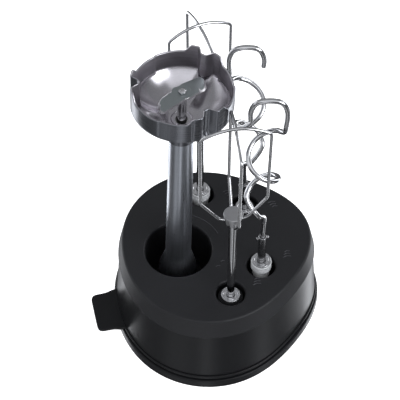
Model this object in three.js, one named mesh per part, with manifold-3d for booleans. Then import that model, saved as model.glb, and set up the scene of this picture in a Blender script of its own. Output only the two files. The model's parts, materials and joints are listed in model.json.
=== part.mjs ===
// Storage stand for a hand mixer's attachments: a rounded-egg stand holding a blending stick,
// two wire beaters and two dough hooks. Millimetres, +Z up, the floor at z = 0.
// +X points to the narrow end of the stand, and the finger tab is at -X.
import * as THREE from 'three';
import { mergeVertices } from 'three/addons/utils/BufferGeometryUtils.js';
import Module from 'manifold-3d';

const wasm = await Module();
wasm.setup();

// ---- Driving sizes, mm ----
const touch = 0.3; // gap kept between pieces that touch
const run = 0.15; // radial gap round a turning shaft

// Stand
const standHeight = 71.5; // floor to the panel's top
const panelMargin = 9.5; // panel left between a beater's well and the panel's edge
const outlineShares = [0, 0, 0.0097, 0.0385, 0.0111, 0.0052]; // cosine terms that make the egg
const panelThick = 2.5;
const shellWall = 2.2;
const edgeRound = 1.5;
const skirtDrop = 15.5; // height of the cover's sloping skirt
const skirtFlare = 3.5; // how far the skirt's lip stands out past the panel's edge
const bodyFlare = 6.5; // the body's foot past the panel's edge
const bodyInset = 1.0; // the body's shoulder inside the lip
const spigotHeight = 6.5; // overlap of body and cover, and of body and tray
const trayHeight = 12;
const trayFlare = 9.4; // the tray's foot past the panel's edge
const trayLip = 7.6; // the tray's top lip past the panel's edge
const trayBand = 8; // height of the tray's lower band
const trayGroove = 1.6; // height of the groove over that band
const trayFloor = 2.2;
const floorGap = 0.8; // the tray's underside over the floor

// Finger tab
const tabLength = 17.8; // the tray's lip to the tab's tip
const tabWidth = 31.8;
const tabRootWidth = 35.5;
const tabThick = 2.4;
const tabCorner = 5;

// Feet and screws
const footRadius = 6;
const footThick = 1.4;
const footInset = 5.7; // the feet's ring inside the panel's mean radius
const footAngles = [0, 90, 180, 270];
const screwInset = 7.7; // the screws' ring inside the panel's mean radius
const screwAngles = [0, 125, 235];
const screwRadius = 1.5;
const screwHeadRadius = 3.2;
const screwHeadThick = 1.8;
const screwLength = 14;
const postRadius = 4;
const lugHeight = 20; // floor to the lugs' underside
const lugThick = 2.5;
const lugWidth = 12;

// Wells: place from the stand's centre, bore radius and depth below the panel
const wellWall = 1.6;
const mouthRound = 1.6; // rounding of the panel into each mouth
const stickWell = { name: 'stick_well', at: [-25.4, 0], radius: 23.5, depth: 46 };
const toolWellRadius = 10;
const beaterForward = 1.1; // how far towards the nose the beaters' wells stand
const beaterNest = 0.9; // the beaters' corners reach this far past a plain gap to the bell
const frontHookAt = [27.5, -27];
const rearHookAt = [30, 27.2];

// Blending stick, heights from the panel's top
const stickLean = 1.7; // degrees off upright
const stickLeanTo = -13.5; // the way it leans, degrees from +X
const socketRadius = 13.5;
const socketBore = 9;
const socketShoulder = -22; // height where the tube's flare meets the socket
const flareTop = -1; // height where the tube starts to flare
const socketSpigot = 12; // the socket's spigot inside the tube
const tubeBase = 9.05; // tube's outer radius at the foot
const tubeMid = 8.5;
const tubeTop = 7.7;
const tubeMidHeight = 57;
const tubeWall = 1.0;
const bellRadius = 31.8;
const bellTop = 163;
const bellBand = 7; // height of the upright band at the rim
const bellFloor = 134.6;
const bellWall = 1.2;
const bellNeck = 15; // how far the bell's neck reaches down the tube
const dentAngles = [48.5, 168.5, 288.5]; // where the rim is pressed in, degrees from +X
const dentDepth = 5;
const dentHalfWidth = 5.5; // degrees
const dentHeight = 15;
const lobeRise = 5; // the rim stands higher round each dent
const lobeHalfWidth = 26; // degrees
const driveRadius = 1.5;
const driveFrom = -34;
const bladeHeight = 157;
const bladeReach = 20.5;
const bladeThick = 1.6;
const bladeAngle = 211.5; // the flat wing's direction, degrees from +X
const bladeDropAngle = 12; // the bent wing's tilt, downwards
const bladeBend = 5; // axis to the line where that wing bends
const bladeHub = 5.8;
const leadingWidth = 6.3; // axis to a wing's ground edge
const trailingWidth = 5.2;

// Beaters, heights from the panel's top
const wireRadius = 1.0;
const beaterRadius = 21; // axis to the upright wires' centre line
const beaterCorner = 160;
const beaterCrown = 167;
const beaterLow = 101; // where the upright wires start
const beaterHubHeight = 88;
const hubRadius = 6.25;
const hubSkirtRadius = 4.6;
const hubSkirtFrom = 79;
const beaterShaftRadius = 2.65;
const beaterCornerRound = 3;
const frontFrameTurn = -126.7; // first wire frame's direction from that of the bell, degrees
const rearFrameTurn = 130.2;

// Dough hooks, heights from the panel's top
const hookWireRadius = 1.7;
const hookRadius = 10.8; // axis to the wire's centre line
const hookStem = 57; // height where the wire leaves the axis
const hookStart = 74; // height where the spiral starts
const hookEnd = 136.5; // height where it ends and turns up
const hookCrown = 167.5;
const hookTipDrop = 19; // from the crown to the free end
const hookTurns = 1.5;
const hookOffset = 1.9; // the spiral's middle stands this far off the axis, on the side it starts
const frontHookLean = 0.5; // degrees off upright
const rearHookLean = 1.1;
const hookLeanTo = 166.5; // the way both hooks lean, degrees from +X
const rearHookDrop = 8.5; // the rear hook stands this much lower
const sleeveRadius = 2.9;
const sleeveTop = 33;
const sleeveLug = 4.4; // axis to the tips of the sleeve's two lugs

// Collars, heights from the panel's top
const washerRadius = 6.5;
const washerThick = 1.0;
const tallCollar = { radius: 7.15, top: 5, length: 14 };
const sunkCollar = { radius: 8.4, top: -3, length: 12 };

// ---- Sizes worked out from these ----
// The beaters stand just clear of the bell, and the stand reaches past their wells.
const beaterSpacing = bellRadius + beaterRadius - beaterNest;
const beaterAt = [beaterForward, Math.sqrt(beaterSpacing ** 2 - (beaterForward - stickWell.at[0]) ** 2)];
const panelRadius = beaterAt[1] + toolWellRadius + wellWall + panelMargin;
const footRing = panelRadius - footInset;
const screwRing = panelRadius - screwInset;
// Share of the mean radius that the egg outline has in a direction.
const outline = (angle) => outlineShares.reduce((sum, share, n) => sum + share * Math.cos(n * angle), 1);
const tabReach = (panelRadius + trayLip) * outline(Math.PI) + tabLength;

// ---- Materials ----
const plastic = (color, roughness) => new THREE.MeshStandardMaterial({ color, roughness, metalness: 0 });
const metal = (color, roughness) => new THREE.MeshStandardMaterial({ color, roughness, metalness: 1 });
const blackPlastic = plastic(0x232426, 0.6);
const satinBlack = plastic(0x1d1e20, 0.4);
const greyPlastic = plastic(0xb9bbbd, 0.5);
const rubber = plastic(0x151515, 0.9);
const brushedSteel = metal(0x9aa0a6, 0.35);
const brightSteel = metal(0xc8ccd0, 0.18);

// ---- Shape helpers ----
const radians = (degrees) => (degrees * Math.PI) / 180;
const polar = (radius, degrees, z = 0) =>
  new THREE.Vector3(radius * Math.cos(radians(degrees)), radius * Math.sin(radians(degrees)), z);

// A solid turned about Z from [radius, z] points that run anticlockwise round the half section.
function turned(points, segments) {
  const profile = points.map(([radius, z]) => new THREE.Vector2(radius, z));
  return new THREE.LatheGeometry(profile, segments).rotateX(Math.PI / 2);
}

// A tube-like ring: its section's points run once round and close on the first.
const turnedRing = (points, segments) => turned([...points, points[0]], segments);

// Moves each vertex of a turned solid out or in to the egg outline.
function egg(geometry) {
  const place = geometry.attributes.position;
  for (let i = 0; i < place.count; i++) {
    const share = outline(Math.atan2(place.getY(i), place.getX(i)));
    place.setXY(i, place.getX(i) * share, place.getY(i) * share);
  }
  return geometry;
}

const standSegments = 60;
const eggTurned = (points) => egg(turned(points, standSegments));
const eggRing = (points) => egg(turnedRing(points, standSegments));

function toSolid(geometry) {
  const bare = new THREE.BufferGeometry();
  const source = geometry.index ? geometry.toNonIndexed() : geometry;
  bare.setAttribute('position', source.attributes.position);
  const merged = mergeVertices(bare, 1e-4);
  return new wasm.Manifold(new wasm.Mesh({
    numProp: 3,
    vertProperties: merged.attributes.position.array,
    triVerts: new Uint32Array(merged.index.array),
  }));
}

function toGeometry(solid) {
  const mesh = solid.getMesh();
  const geometry = new THREE.BufferGeometry();
  geometry.setAttribute('position', new THREE.BufferAttribute(mesh.vertProperties, 3));
  geometry.setIndex(new THREE.BufferAttribute(mesh.triVerts, 1));
  geometry.computeVertexNormals();
  return geometry;
}

const join = (...geometries) =>
  toGeometry(geometries.map(toSolid).reduce((whole, piece) => whole.add(piece)));
const cut = (geometry, ...tools) =>
  toGeometry(tools.map(toSolid).reduce((whole, tool) => whole.subtract(tool), toSolid(geometry)));

const rod = (radius, from, to, segments = 20) =>
  turned([[0, from], [radius, from], [radius, to], [0, to]], segments);
const tube = (inner, outer, from, to, segments = 24) =>
  turnedRing([[inner, from], [outer, from], [outer, to], [inner, to]], segments);

// A round wire of the given radius along a path.
function wire(path, radius, steps, sides = 8) {
  const section = new THREE.Shape(
    Array.from({ length: sides }, (_, i) => {
      const angle = (i / sides) * 2 * Math.PI;
      return new THREE.Vector2(radius * Math.cos(angle), radius * Math.sin(angle));
    }),
  );
  return new THREE.ExtrudeGeometry(section, { steps, extrudePath: path });
}

// A path through the points, straight between them and rounded at each.
function roundedPath(points, round) {
  const path = new THREE.CurvePath();
  let from = points[0];
  for (let i = 1; i < points.length - 1; i++) {
    const corner = points[i];
    const before = corner.clone().lerp(points[i - 1], Math.min(0.45, round / corner.distanceTo(points[i - 1])));
    const after = corner.clone().lerp(points[i + 1], Math.min(0.45, round / corner.distanceTo(points[i + 1])));
    path.add(new THREE.LineCurve3(from, before));
    path.add(new THREE.QuadraticBezierCurve3(before, corner, after));
    from = after;
  }
  path.add(new THREE.LineCurve3(from, points[points.length - 1]));
  return path;
}

function addPiece(group, name, geometry, material) {
  const mesh = new THREE.Mesh(geometry, material);
  mesh.name = name;
  group.add(mesh);
  return mesh;
}

// A group that stands at a well on the panel and leans off upright.
function toolGroup([x, y], lean = 0, leanTo = 0, drop = 0) {
  const group = new THREE.Group();
  group.position.set(x, y, standHeight - drop);
  const hingeLine = polar(1, leanTo + 90);
  group.quaternion.setFromAxisAngle(hingeLine, radians(lean));
  return group;
}

// ---- Stand ----
const lipHeight = standHeight - skirtDrop;
const bodyTop = lipHeight + spigotHeight;
const bodyFoot = trayHeight - spigotHeight;
// Distance the skirt and the body's wall stand out past the panel's edge at a height.
const skirtOut = (z) => (skirtFlare * (standHeight - z)) / skirtDrop;
const bodyOut = (z) =>
  THREE.MathUtils.mapLinear(z, lipHeight, trayHeight, skirtFlare - bodyInset, bodyFlare);

const toolWells = [
  { name: 'front_beater_well', at: [beaterAt[0], -beaterAt[1]], radius: toolWellRadius, depth: 46 },
  { name: 'rear_beater_well', at: beaterAt, radius: toolWellRadius, depth: 46 },
  { name: 'front_hook_well', at: frontHookAt, radius: toolWellRadius, depth: 40 },
  { name: 'rear_hook_well', at: rearHookAt, radius: toolWellRadius, depth: 40 + rearHookDrop },
];
const wells = [stickWell, ...toolWells];
const wellSegments = (radius) => (radius > 2 * toolWellRadius ? 40 : 24);

function topCover() {
  const under = standHeight - panelThick;
  const shell = eggTurned([
    [0, under],
    [panelRadius + skirtOut(under) - shellWall, under],
    [panelRadius + skirtFlare - shellWall, lipHeight],
    [panelRadius + skirtFlare, lipHeight],
    [panelRadius + skirtOut(standHeight - edgeRound), standHeight - edgeRound],
    [panelRadius - edgeRound * 0.3, standHeight - edgeRound * 0.3],
    [panelRadius - edgeRound, standHeight],
    [0, standHeight],
  ]);
  const postFoot = lugHeight + lugThick + touch;
  const posts = screwAngles.map((angle) => {
    const { x, y } = polar(screwRing, angle);
    return rod(postRadius, postFoot, under + panelThick / 2, 16).translate(x, y, 0);
  });
  const pilotHoles = screwAngles.map((angle) => {
    const { x, y } = polar(screwRing, angle);
    return rod(screwRadius + touch, postFoot - 1, lugHeight + screwLength, 12).translate(x, y, 0);
  });
  const mouths = wells.map(({ at, radius }) => turned([
    [0, under - 1],
    [radius, under - 1],
    [radius, standHeight - mouthRound],
    [radius + mouthRound * 0.3, standHeight - mouthRound * 0.3],
    [radius + mouthRound, standHeight],
    [radius + mouthRound, standHeight + 1],
    [0, standHeight + 1],
  ], wellSegments(radius)).translate(at[0], at[1], 0));
  return cut(join(shell, ...posts), ...pilotHoles, ...mouths);
}

function lowerBody() {
  const spigotOut = skirtFlare - shellWall - touch;
  const spigotTopOut = skirtOut(bodyTop) - shellWall - touch;
  const footOut = bodyFlare - 2;
  const shell = eggRing([
    [panelRadius + footOut - shellWall, bodyFoot],
    [panelRadius + footOut, bodyFoot],
    [panelRadius + footOut, trayHeight + touch],
    [panelRadius + bodyFlare, trayHeight + touch],
    [panelRadius + bodyOut(lipHeight - touch), lipHeight - touch],
    [panelRadius + spigotOut, lipHeight - touch],
    [panelRadius + spigotTopOut, bodyTop],
    [panelRadius + spigotTopOut - shellWall, bodyTop],
    [panelRadius + spigotOut - shellWall, lipHeight - touch],
    [panelRadius + bodyOut(trayHeight + 4) - shellWall, trayHeight + 4],
  ]);
  const lugs = screwAngles.map((angle) => {
    const wall = (panelRadius + bodyOut(lugHeight) - shellWall / 2) * outline(radians(angle));
    const inner = screwRing - lugWidth / 2;
    return new THREE.BoxGeometry(wall - inner, lugWidth, lugThick)
      .translate((wall + inner) / 2, 0, lugHeight + lugThick / 2)
      .rotateZ(radians(angle));
  });
  const holes = screwAngles.map((angle) => {
    const { x, y } = polar(screwRing, angle);
    return rod(screwRadius + touch, lugHeight - 1, lugHeight + lugThick + 1, 12).translate(x, y, 0);
  });
  return cut(join(shell, ...lugs), ...holes);
}

// Flat finger tab with round corners, widening to its root, its tip at -X.
function fingerTab() {
  const root = panelRadius * 0.9;
  const tip = tabReach;
  const half = tabWidth / 2;
  const shape = new THREE.Shape();
  shape.moveTo(-root, -tabRootWidth / 2);
  shape.lineTo(-root, tabRootWidth / 2);
  shape.lineTo(-panelRadius - trayLip + 1, tabRootWidth / 2);
  shape.quadraticCurveTo(-panelRadius - trayLip - 2, half + 0.5, -tip + tabCorner, half);
  shape.quadraticCurveTo(-tip + 0.5, half, -tip, half - tabCorner);
  shape.lineTo(-tip, -half + tabCorner);
  shape.quadraticCurveTo(-tip + 0.5, -half, -tip + tabCorner, -half);
  shape.quadraticCurveTo(-panelRadius - trayLip - 2, -half - 0.5, -panelRadius - trayLip + 1, -tabRootWidth / 2);
  return new THREE.ExtrudeGeometry(shape, { depth: tabThick, bevelEnabled: false, curveSegments: 5 })
    .translate(0, 0, trayHeight - tabThick);
}

function bottomTray() {
  const grooveOut = trayLip - 1;
  const bandOut = trayFlare - 0.6;
  const lipFrom = trayBand + trayGroove;
  const outer = eggTurned([
    [0, floorGap],
    [panelRadius + trayFlare - 0.8, floorGap],
    [panelRadius + trayFlare, floorGap + 0.8],
    [panelRadius + bandOut, trayBand],
    [panelRadius + grooveOut, trayBand],
    [panelRadius + grooveOut, lipFrom],
    [panelRadius + trayLip, lipFrom],
    [panelRadius + trayLip, trayHeight - 0.5],
    [panelRadius + trayLip - 0.5, trayHeight],
    [0, trayHeight],
  ]);
  const room = panelRadius + bodyFlare - 2 + touch;
  const inner = eggTurned([[0, floorGap + trayFloor], [room, floorGap + trayFloor], [room, trayHeight + 1], [0, trayHeight + 1]]);
  const pockets = footAngles.map((angle) => {
    const { x, y } = polar(footRing, angle);
    return rod(footRadius + touch, -1, footThick + touch, 24).translate(x, y, 0);
  });
  return cut(join(outer, fingerTab()), inner, ...pockets);
}

function well({ radius, depth }) {
  const outer = radius + wellWall;
  const top = standHeight - panelThick - touch;
  const floor = standHeight - depth;
  return turned([
    [0, floor - wellWall],
    [outer, floor - wellWall],
    [outer, top],
    [radius, top],
    [radius, floor],
    [0, floor],
  ], wellSegments(radius));
}

function coverScrew() {
  const headTop = lugHeight - touch;
  const headFrom = headTop - screwHeadThick;
  return turned([
    [0, headFrom],
    [screwHeadRadius * 0.7, headFrom],
    [screwHeadRadius, headTop - 0.6],
    [screwHeadRadius, headTop],
    [screwRadius, headTop],
    [screwRadius, headTop + screwLength - 2],
    [0, headTop + screwLength - 1],
  ], 16);
}

// ---- Blending stick ----
function tubeOut(z) {
  const [from, to, below, above] =
    z < tubeMidHeight ? [0, tubeMidHeight, tubeBase, tubeMid] : [tubeMidHeight, bellFloor, tubeMid, tubeTop];
  return THREE.MathUtils.mapLinear(z, from, to, below, above);
}
const tubeTo = bellFloor - bellWall - touch;
const tubeBore = tubeOut(tubeTo) - tubeWall;
const spigotRadius = tubeBase - tubeWall - touch - 0.2;
// The tube's flare, from its foot up, as [outer radius, height].
const flare = [
  [socketRadius, socketShoulder + touch],
  [socketRadius - 0.5, socketShoulder + 4],
  [socketRadius - 2, socketShoulder + 9],
  [tubeBase + 1, flareTop - 6],
  [tubeBase, flareTop],
];

function couplingSocket() {
  const web = socketShoulder;
  const foot = -stickWell.depth + touch + socketRadius * Math.sin(radians(stickLean));
  const inFlare = flare.map(([radius, z]) => [radius - tubeWall - touch - 0.2, z]);
  return turnedRing([
    [socketBore, foot],
    [socketRadius, foot],
    [socketRadius, socketShoulder],
    [inFlare[0][0], socketShoulder],
    ...inFlare.slice(1),
    [spigotRadius, socketSpigot],
    [spigotRadius - 1.5, socketSpigot],
    [spigotRadius - 1.5, web + 4],
    [driveRadius + run, web + 4],
    [driveRadius + run, web],
    [socketBore, web],
  ], 28);
}

function stickTube() {
  const outside = [...flare, ...[tubeMidHeight, tubeTo].map((z) => [tubeOut(z), z])];
  const inside = outside.map(([radius, z]) => [radius - tubeWall, z]).reverse();
  return turnedRing([...outside, ...inside], 28);
}

// Bowl-shaped guard that opens upwards, its rim dented inwards in three places.
function bell() {
  const neckBore = tubeTop + touch + 0.1;
  const neckRadius = neckBore + bellWall;
  const bandFrom = bellTop - bellBand;
  const bowl = (from, radius, floor, steps) => Array.from({ length: steps + 1 }, (_, i) => {
    const angle = (i / steps) * (Math.PI / 2);
    return [from + (radius - from) * Math.sin(angle), bandFrom - (bandFrom - floor) * Math.cos(angle)];
  });
  const geometry = turnedRing([
    [neckBore, bellFloor - bellNeck],
    [neckRadius, bellFloor - bellNeck],
    [neckRadius, bellFloor - bellWall - 1],
    ...bowl(neckRadius + 1.5, bellRadius, bellFloor - bellWall, 5),
    [bellRadius, bellTop - bellBand / 2],
    [bellRadius, bellTop],
    [bellRadius - bellWall, bellTop],
    [bellRadius - bellWall, bellTop - bellBand / 2],
    ...bowl(neckRadius + 1.5, bellRadius - bellWall, bellFloor, 5).reverse(),
    [driveRadius + 2.6, bellFloor],
    [driveRadius + 2.6, bellFloor - bellWall],
    [neckBore, bellFloor - bellWall],
  ], 60);
  const place = geometry.attributes.position;
  for (let i = 0; i < place.count; i++) {
    const [x, y, z] = [place.getX(i), place.getY(i), place.getZ(i)];
    const radius = Math.hypot(x, y);
    const angle = THREE.MathUtils.radToDeg(Math.atan2(y, x));
    const outward = THREE.MathUtils.smoothstep(radius, neckRadius + 4, bellRadius - 4);
    const upward = THREE.MathUtils.smoothstep(z, bellTop - dentHeight, bellTop - dentHeight / 2);
    const turns = dentAngles.map((at) => Math.abs(THREE.MathUtils.euclideanModulo(angle - at + 180, 360) - 180));
    const turn = Math.min(...turns);
    const dent = 1 - THREE.MathUtils.smoothstep(turn, dentHalfWidth * 0.4, dentHalfWidth * 1.6);
    const lobe = 1 - THREE.MathUtils.smoothstep(turn, lobeHalfWidth * 0.65, lobeHalfWidth * 1.2);
    const share = 1 - (dentDepth * dent * upward * outward) / radius;
    const rim = THREE.MathUtils.smoothstep(z, bellTop - bellBand / 2, bellTop) * outward;
    place.setXYZ(i, x * share, y * share, z + lobeRise * lobe * rim);
  }
  return geometry;
}

// One wing of the knife along +X, lying flat: a long ground edge at -Y that curves round to the tip.
function wing(reach) {
  const shape = new THREE.Shape();
  shape.moveTo(0, -leadingWidth);
  shape.lineTo(reach * 0.46, -leadingWidth);
  shape.quadraticCurveTo(reach * 0.8, -leadingWidth, reach, 1);
  shape.quadraticCurveTo(reach, trailingWidth * 0.75, reach * 0.92, trailingWidth * 0.78);
  shape.lineTo(0, trailingWidth);
  return new THREE.ExtrudeGeometry(shape, { depth: bladeThick, bevelEnabled: false, curveSegments: 5 });
}

// The wing that bends down from a line beside the hub, at -X.
function bentWing() {
  const root = new THREE.BoxGeometry(bladeBend, leadingWidth + trailingWidth, bladeThick)
    .translate(bladeBend / 2, (trailingWidth - leadingWidth) / 2, bladeThick / 2);
  const outer = wing(bladeReach - bladeBend)
    .translate(0, 0, -bladeThick)
    .rotateY(radians(bladeDropAngle))
    .translate(bladeBend, 0, bladeThick);
  return join(root, outer).rotateZ(Math.PI);
}

function blade() {
  const hub = rod(bladeHub, 0, bladeThick, 24);
  const bore = rod(driveRadius + touch, -2, bladeThick + 4, 16);
  const plate = cut(join(hub, wing(bladeReach), bentWing()), bore);
  return plate.rotateZ(radians(bladeAngle)).translate(0, 0, bladeHeight);
}

function bladeNut() {
  const from = bladeHeight + bladeThick + touch;
  return turned([[0, from], [2.6, from], [2.6, from + 1.2], [1.6, from + 2.0], [0, from + 2.0]], 6);
}

function driveDog() {
  const top = socketShoulder - 2;
  const hexagon = turned([
    [0, driveFrom - 4],
    [4.2, driveFrom - 4],
    [4.6, driveFrom - 3],
    [4.6, top],
    [0, top],
  ], 6);
  return cut(hexagon, rod(driveRadius + run, driveFrom - touch, top + 1, 16));
}

function blendingStick() {
  const group = toolGroup(stickWell.at, stickLean, stickLeanTo);
  const web = socketShoulder + 4;
  const lowerBushRadius = spigotRadius - 1.5 - touch;
  addPiece(group, 'stick_coupling', couplingSocket(), satinBlack);
  addPiece(group, 'stick_tube', stickTube(), brushedSteel);
  addPiece(group, 'stick_bell', bell(), brushedSteel);
  addPiece(group, 'lower_bush', tube(driveRadius + run, lowerBushRadius, web + touch, web + 9), greyPlastic);
  addPiece(group, 'upper_bush', tube(driveRadius + run, tubeBore - touch, tubeTo - 9, tubeTo - touch), greyPlastic);
  addPiece(group, 'shaft_seal', tube(driveRadius + run, 3.2, tubeTo + touch, bellFloor + 2.4), rubber);
  addPiece(group, 'knife_shaft', rod(driveRadius, driveFrom, bladeHeight + bladeThick, 16), brightSteel);
  addPiece(group, 'drive_dog', driveDog(), satinBlack);
  addPiece(group, 'knife_blade', blade(), brightSteel);
  addPiece(group, 'knife_nut', bladeNut(), brightSteel);
  return group;
}

// ---- Beaters ----
function collar({ radius, top, length }, shaft) {
  const bore = shaft + touch;
  return turnedRing([
    [bore, top - length],
    [radius - 1.2, top - length],
    [radius - 1.2, top - length * 0.45],
    [radius, top - length * 0.45],
    [radius, top - 0.5],
    [radius - 0.5, top],
    [bore, top],
  ], 20);
}

function washer({ top }, shaft) {
  return tube(shaft + touch, washerRadius, top + touch, top + touch + washerThick, 20);
}

// One of the two wire frames: up one side, over the crown and down the other.
function beaterLoop(turn, crownDrop) {
  const foot = hubSkirtRadius + touch + wireRadius * 0.3;
  const side = (degrees) => [
    polar(foot, degrees, hubSkirtFrom + 3.5),
    polar(foot + 4, degrees, hubSkirtFrom + 5),
    polar(beaterRadius, degrees, beaterLow),
    polar(beaterRadius, degrees, beaterCorner),
  ];
  const crown = polar(0, 0, beaterCrown - crownDrop);
  const points = [...side(turn), crown, ...side(turn + 180).reverse()];
  return wire(roundedPath(points, beaterCornerRound), wireRadius, 44, 6);
}

function beaterHub() {
  return turned([
    [0, beaterHubHeight - 1.6],
    [beaterShaftRadius + touch, beaterHubHeight - 1.6],
    [beaterShaftRadius + touch, hubSkirtFrom],
    [hubSkirtRadius, hubSkirtFrom],
    [hubSkirtRadius, beaterHubHeight - 1.8],
    [hubRadius, beaterHubHeight - 1.8],
    [hubRadius, beaterHubHeight - 0.4],
    [hubRadius - 0.4, beaterHubHeight],
    [0, beaterHubHeight],
  ], 20);
}

function beater(side, at, depth, frameTurn, collarSize, collarMaterial) {
  const group = toolGroup(at);
  const toBell = THREE.MathUtils.radToDeg(Math.atan2(stickWell.at[1] - at[1], stickWell.at[0] - at[0]));
  const turn = toBell + frameTurn;
  const shaft = rod(beaterShaftRadius, -depth + touch, beaterHubHeight - 1.6 - touch, 16);
  addPiece(group, `${side}_beater_shaft`, shaft, brightSteel);
  addPiece(group, `${side}_beater_collar`, collar(collarSize, beaterShaftRadius), collarMaterial);
  addPiece(group, `${side}_beater_washer`, washer(collarSize, beaterShaftRadius), brightSteel);
  addPiece(group, `${side}_beater_hub`, beaterHub(), brightSteel);
  addPiece(group, `${side}_beater_frame_a`, beaterLoop(turn, 0), brightSteel);
  addPiece(group, `${side}_beater_frame_b`, beaterLoop(turn + 90, 2 * wireRadius + touch), brightSteel);
  return group;
}

// ---- Dough hooks ----
// Wire path: up the axis, out, 1.5 turns of spiral, then up, over and down to a free end.
// hand is +1 for a spiral that turns anticlockwise as it climbs, seen from above.
function hookPath(startAngle, hand) {
  const turnSteps = 9;
  const points = [sleeveTop - 8, sleeveTop, hookStem - 3].map((z) => new THREE.Vector3(0, 0, z));
  points.push(polar(hookRadius * 0.55, startAngle - hand * 50, hookStem + 4));
  for (let i = 0; i <= turnSteps * hookTurns; i++) {
    const share = i / (turnSteps * hookTurns);
    const angle = startAngle + hand * 360 * hookTurns * share;
    const offset = hookOffset * (1 - THREE.MathUtils.smoothstep(share, 0.6, 1));
    const turn = polar(hookRadius - offset / 2, angle, THREE.MathUtils.lerp(hookStart, hookEnd, share));
    points.push(turn.add(polar(offset, startAngle)));
  }
  const last = startAngle + hand * 360 * hookTurns;
  const top = hookCrown - hookWireRadius;
  points.push(polar(hookRadius, last, hookEnd + 8));
  points.push(polar(hookRadius, last, top - 9));
  points.push(polar(hookRadius * 0.7, last, top - 2));
  points.push(polar(0, 0, top));
  points.push(polar(hookRadius * 0.7, last + 180, top - 2));
  points.push(polar(hookRadius, last + 180, top - 9));
  points.push(polar(hookRadius, last + 180, hookCrown - hookTipDrop));
  return new THREE.CatmullRomCurve3(points, false, 'centripetal');
}

function hookSleeve(depth) {
  const body = tube(hookWireRadius + touch, sleeveRadius, 0, sleeveTop, 16);
  const foot = rod(sleeveRadius, -depth + touch, hookWireRadius, 16);
  const lugs = new THREE.BoxGeometry(2 * sleeveLug, 1.8, 2.4).translate(0, 0, sleeveTop - 2);
  return join(cut(join(body, lugs), rod(hookWireRadius + touch, 3, sleeveTop + 1, 16)), foot);
}

function doughHook(side, at, depth, lean, drop, startAngle, hand, collarSize, collarMaterial) {
  const group = toolGroup(at, lean, hookLeanTo, drop);
  const raisedCollar = { ...collarSize, top: collarSize.top + drop };
  addPiece(group, `${side}_hook_wire`, wire(hookPath(startAngle, hand), hookWireRadius, 72, 6), brightSteel);
  addPiece(group, `${side}_hook_sleeve`, hookSleeve(depth - drop), brushedSteel);
  addPiece(group, `${side}_hook_collar`, collar(raisedCollar, sleeveRadius), collarMaterial);
  addPiece(group, `${side}_hook_washer`, washer(raisedCollar, sleeveRadius), brightSteel);
  return group;
}

// ---- Assembly ----
const part = new THREE.Group();
const noseReach = (panelRadius + trayFlare) * outline(0);
part.position.x = (tabReach - noseReach) / 2;

addPiece(part, 'bottom_tray', bottomTray(), satinBlack);
footAngles.forEach((angle, i) => {
  const foot = addPiece(part, `foot_${i + 1}`, rod(footRadius, 0, footThick, 24), rubber);
  foot.position.copy(polar(footRing, angle));
});
addPiece(part, 'lower_body', lowerBody(), satinBlack);
addPiece(part, 'top_cover', topCover(), blackPlastic);
screwAngles.forEach((angle, i) => {
  addPiece(part, `cover_screw_${i + 1}`, coverScrew(), brightSteel).position.copy(polar(screwRing, angle));
});
for (const each of wells) {
  addPiece(part, each.name, well(each), blackPlastic).position.set(each.at[0], each.at[1], 0);
}
const [frontBeaterWell, rearBeaterWell, frontHookWell, rearHookWell] = toolWells;
part.add(blendingStick());
part.add(beater('front', frontBeaterWell.at, frontBeaterWell.depth, frontFrameTurn, sunkCollar, satinBlack));
part.add(beater('rear', rearBeaterWell.at, rearBeaterWell.depth, rearFrameTurn, tallCollar, greyPlastic));
part.add(doughHook('front', frontHookWell.at, frontHookWell.depth, frontHookLean, 0,
  hookLeanTo, -1, tallCollar, greyPlastic));
part.add(doughHook('rear', rearHookWell.at, rearHookWell.depth, rearHookLean, rearHookDrop,
  hookLeanTo + 180, 1, sunkCollar, satinBlack));

export default part;
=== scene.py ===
"""Looks for an attachment stand that holds a blending stick, two beaters and two dough hooks.

Shapes are worked out in millimetres, in the frame of the tool or of the stand that they belong to. A
placing matrix then puts each finished piece in the row frame, in metres.
"""

import json
import math

import bmesh
import bpy
from mathutils import Matrix, Vector


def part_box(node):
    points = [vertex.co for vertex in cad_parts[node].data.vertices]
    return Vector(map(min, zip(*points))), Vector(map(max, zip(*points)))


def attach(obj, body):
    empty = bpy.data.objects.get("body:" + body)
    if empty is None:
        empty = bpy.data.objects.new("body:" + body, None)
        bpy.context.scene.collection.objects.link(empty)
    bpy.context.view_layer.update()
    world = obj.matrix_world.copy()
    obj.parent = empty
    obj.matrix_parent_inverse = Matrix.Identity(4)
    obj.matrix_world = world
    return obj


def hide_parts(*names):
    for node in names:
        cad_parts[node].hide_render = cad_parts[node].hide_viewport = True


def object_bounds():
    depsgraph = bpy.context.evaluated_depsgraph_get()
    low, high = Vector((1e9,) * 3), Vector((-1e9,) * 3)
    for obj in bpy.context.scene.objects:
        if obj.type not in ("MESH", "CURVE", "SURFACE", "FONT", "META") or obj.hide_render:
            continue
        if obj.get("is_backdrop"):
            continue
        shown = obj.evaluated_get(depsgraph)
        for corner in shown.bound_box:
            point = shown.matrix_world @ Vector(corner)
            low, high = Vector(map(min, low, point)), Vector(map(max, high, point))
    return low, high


bl_info = {
    "name": "Attachment Stand",
    "version": (1, 0, 0),
    "blender": (4, 5, 0),
    "location": "3D View > Sidebar > Attachment Stand",
    "description": "Finishes an attachment stand, its blending stick, beaters and dough hooks",
    "category": "Object",
}

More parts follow.
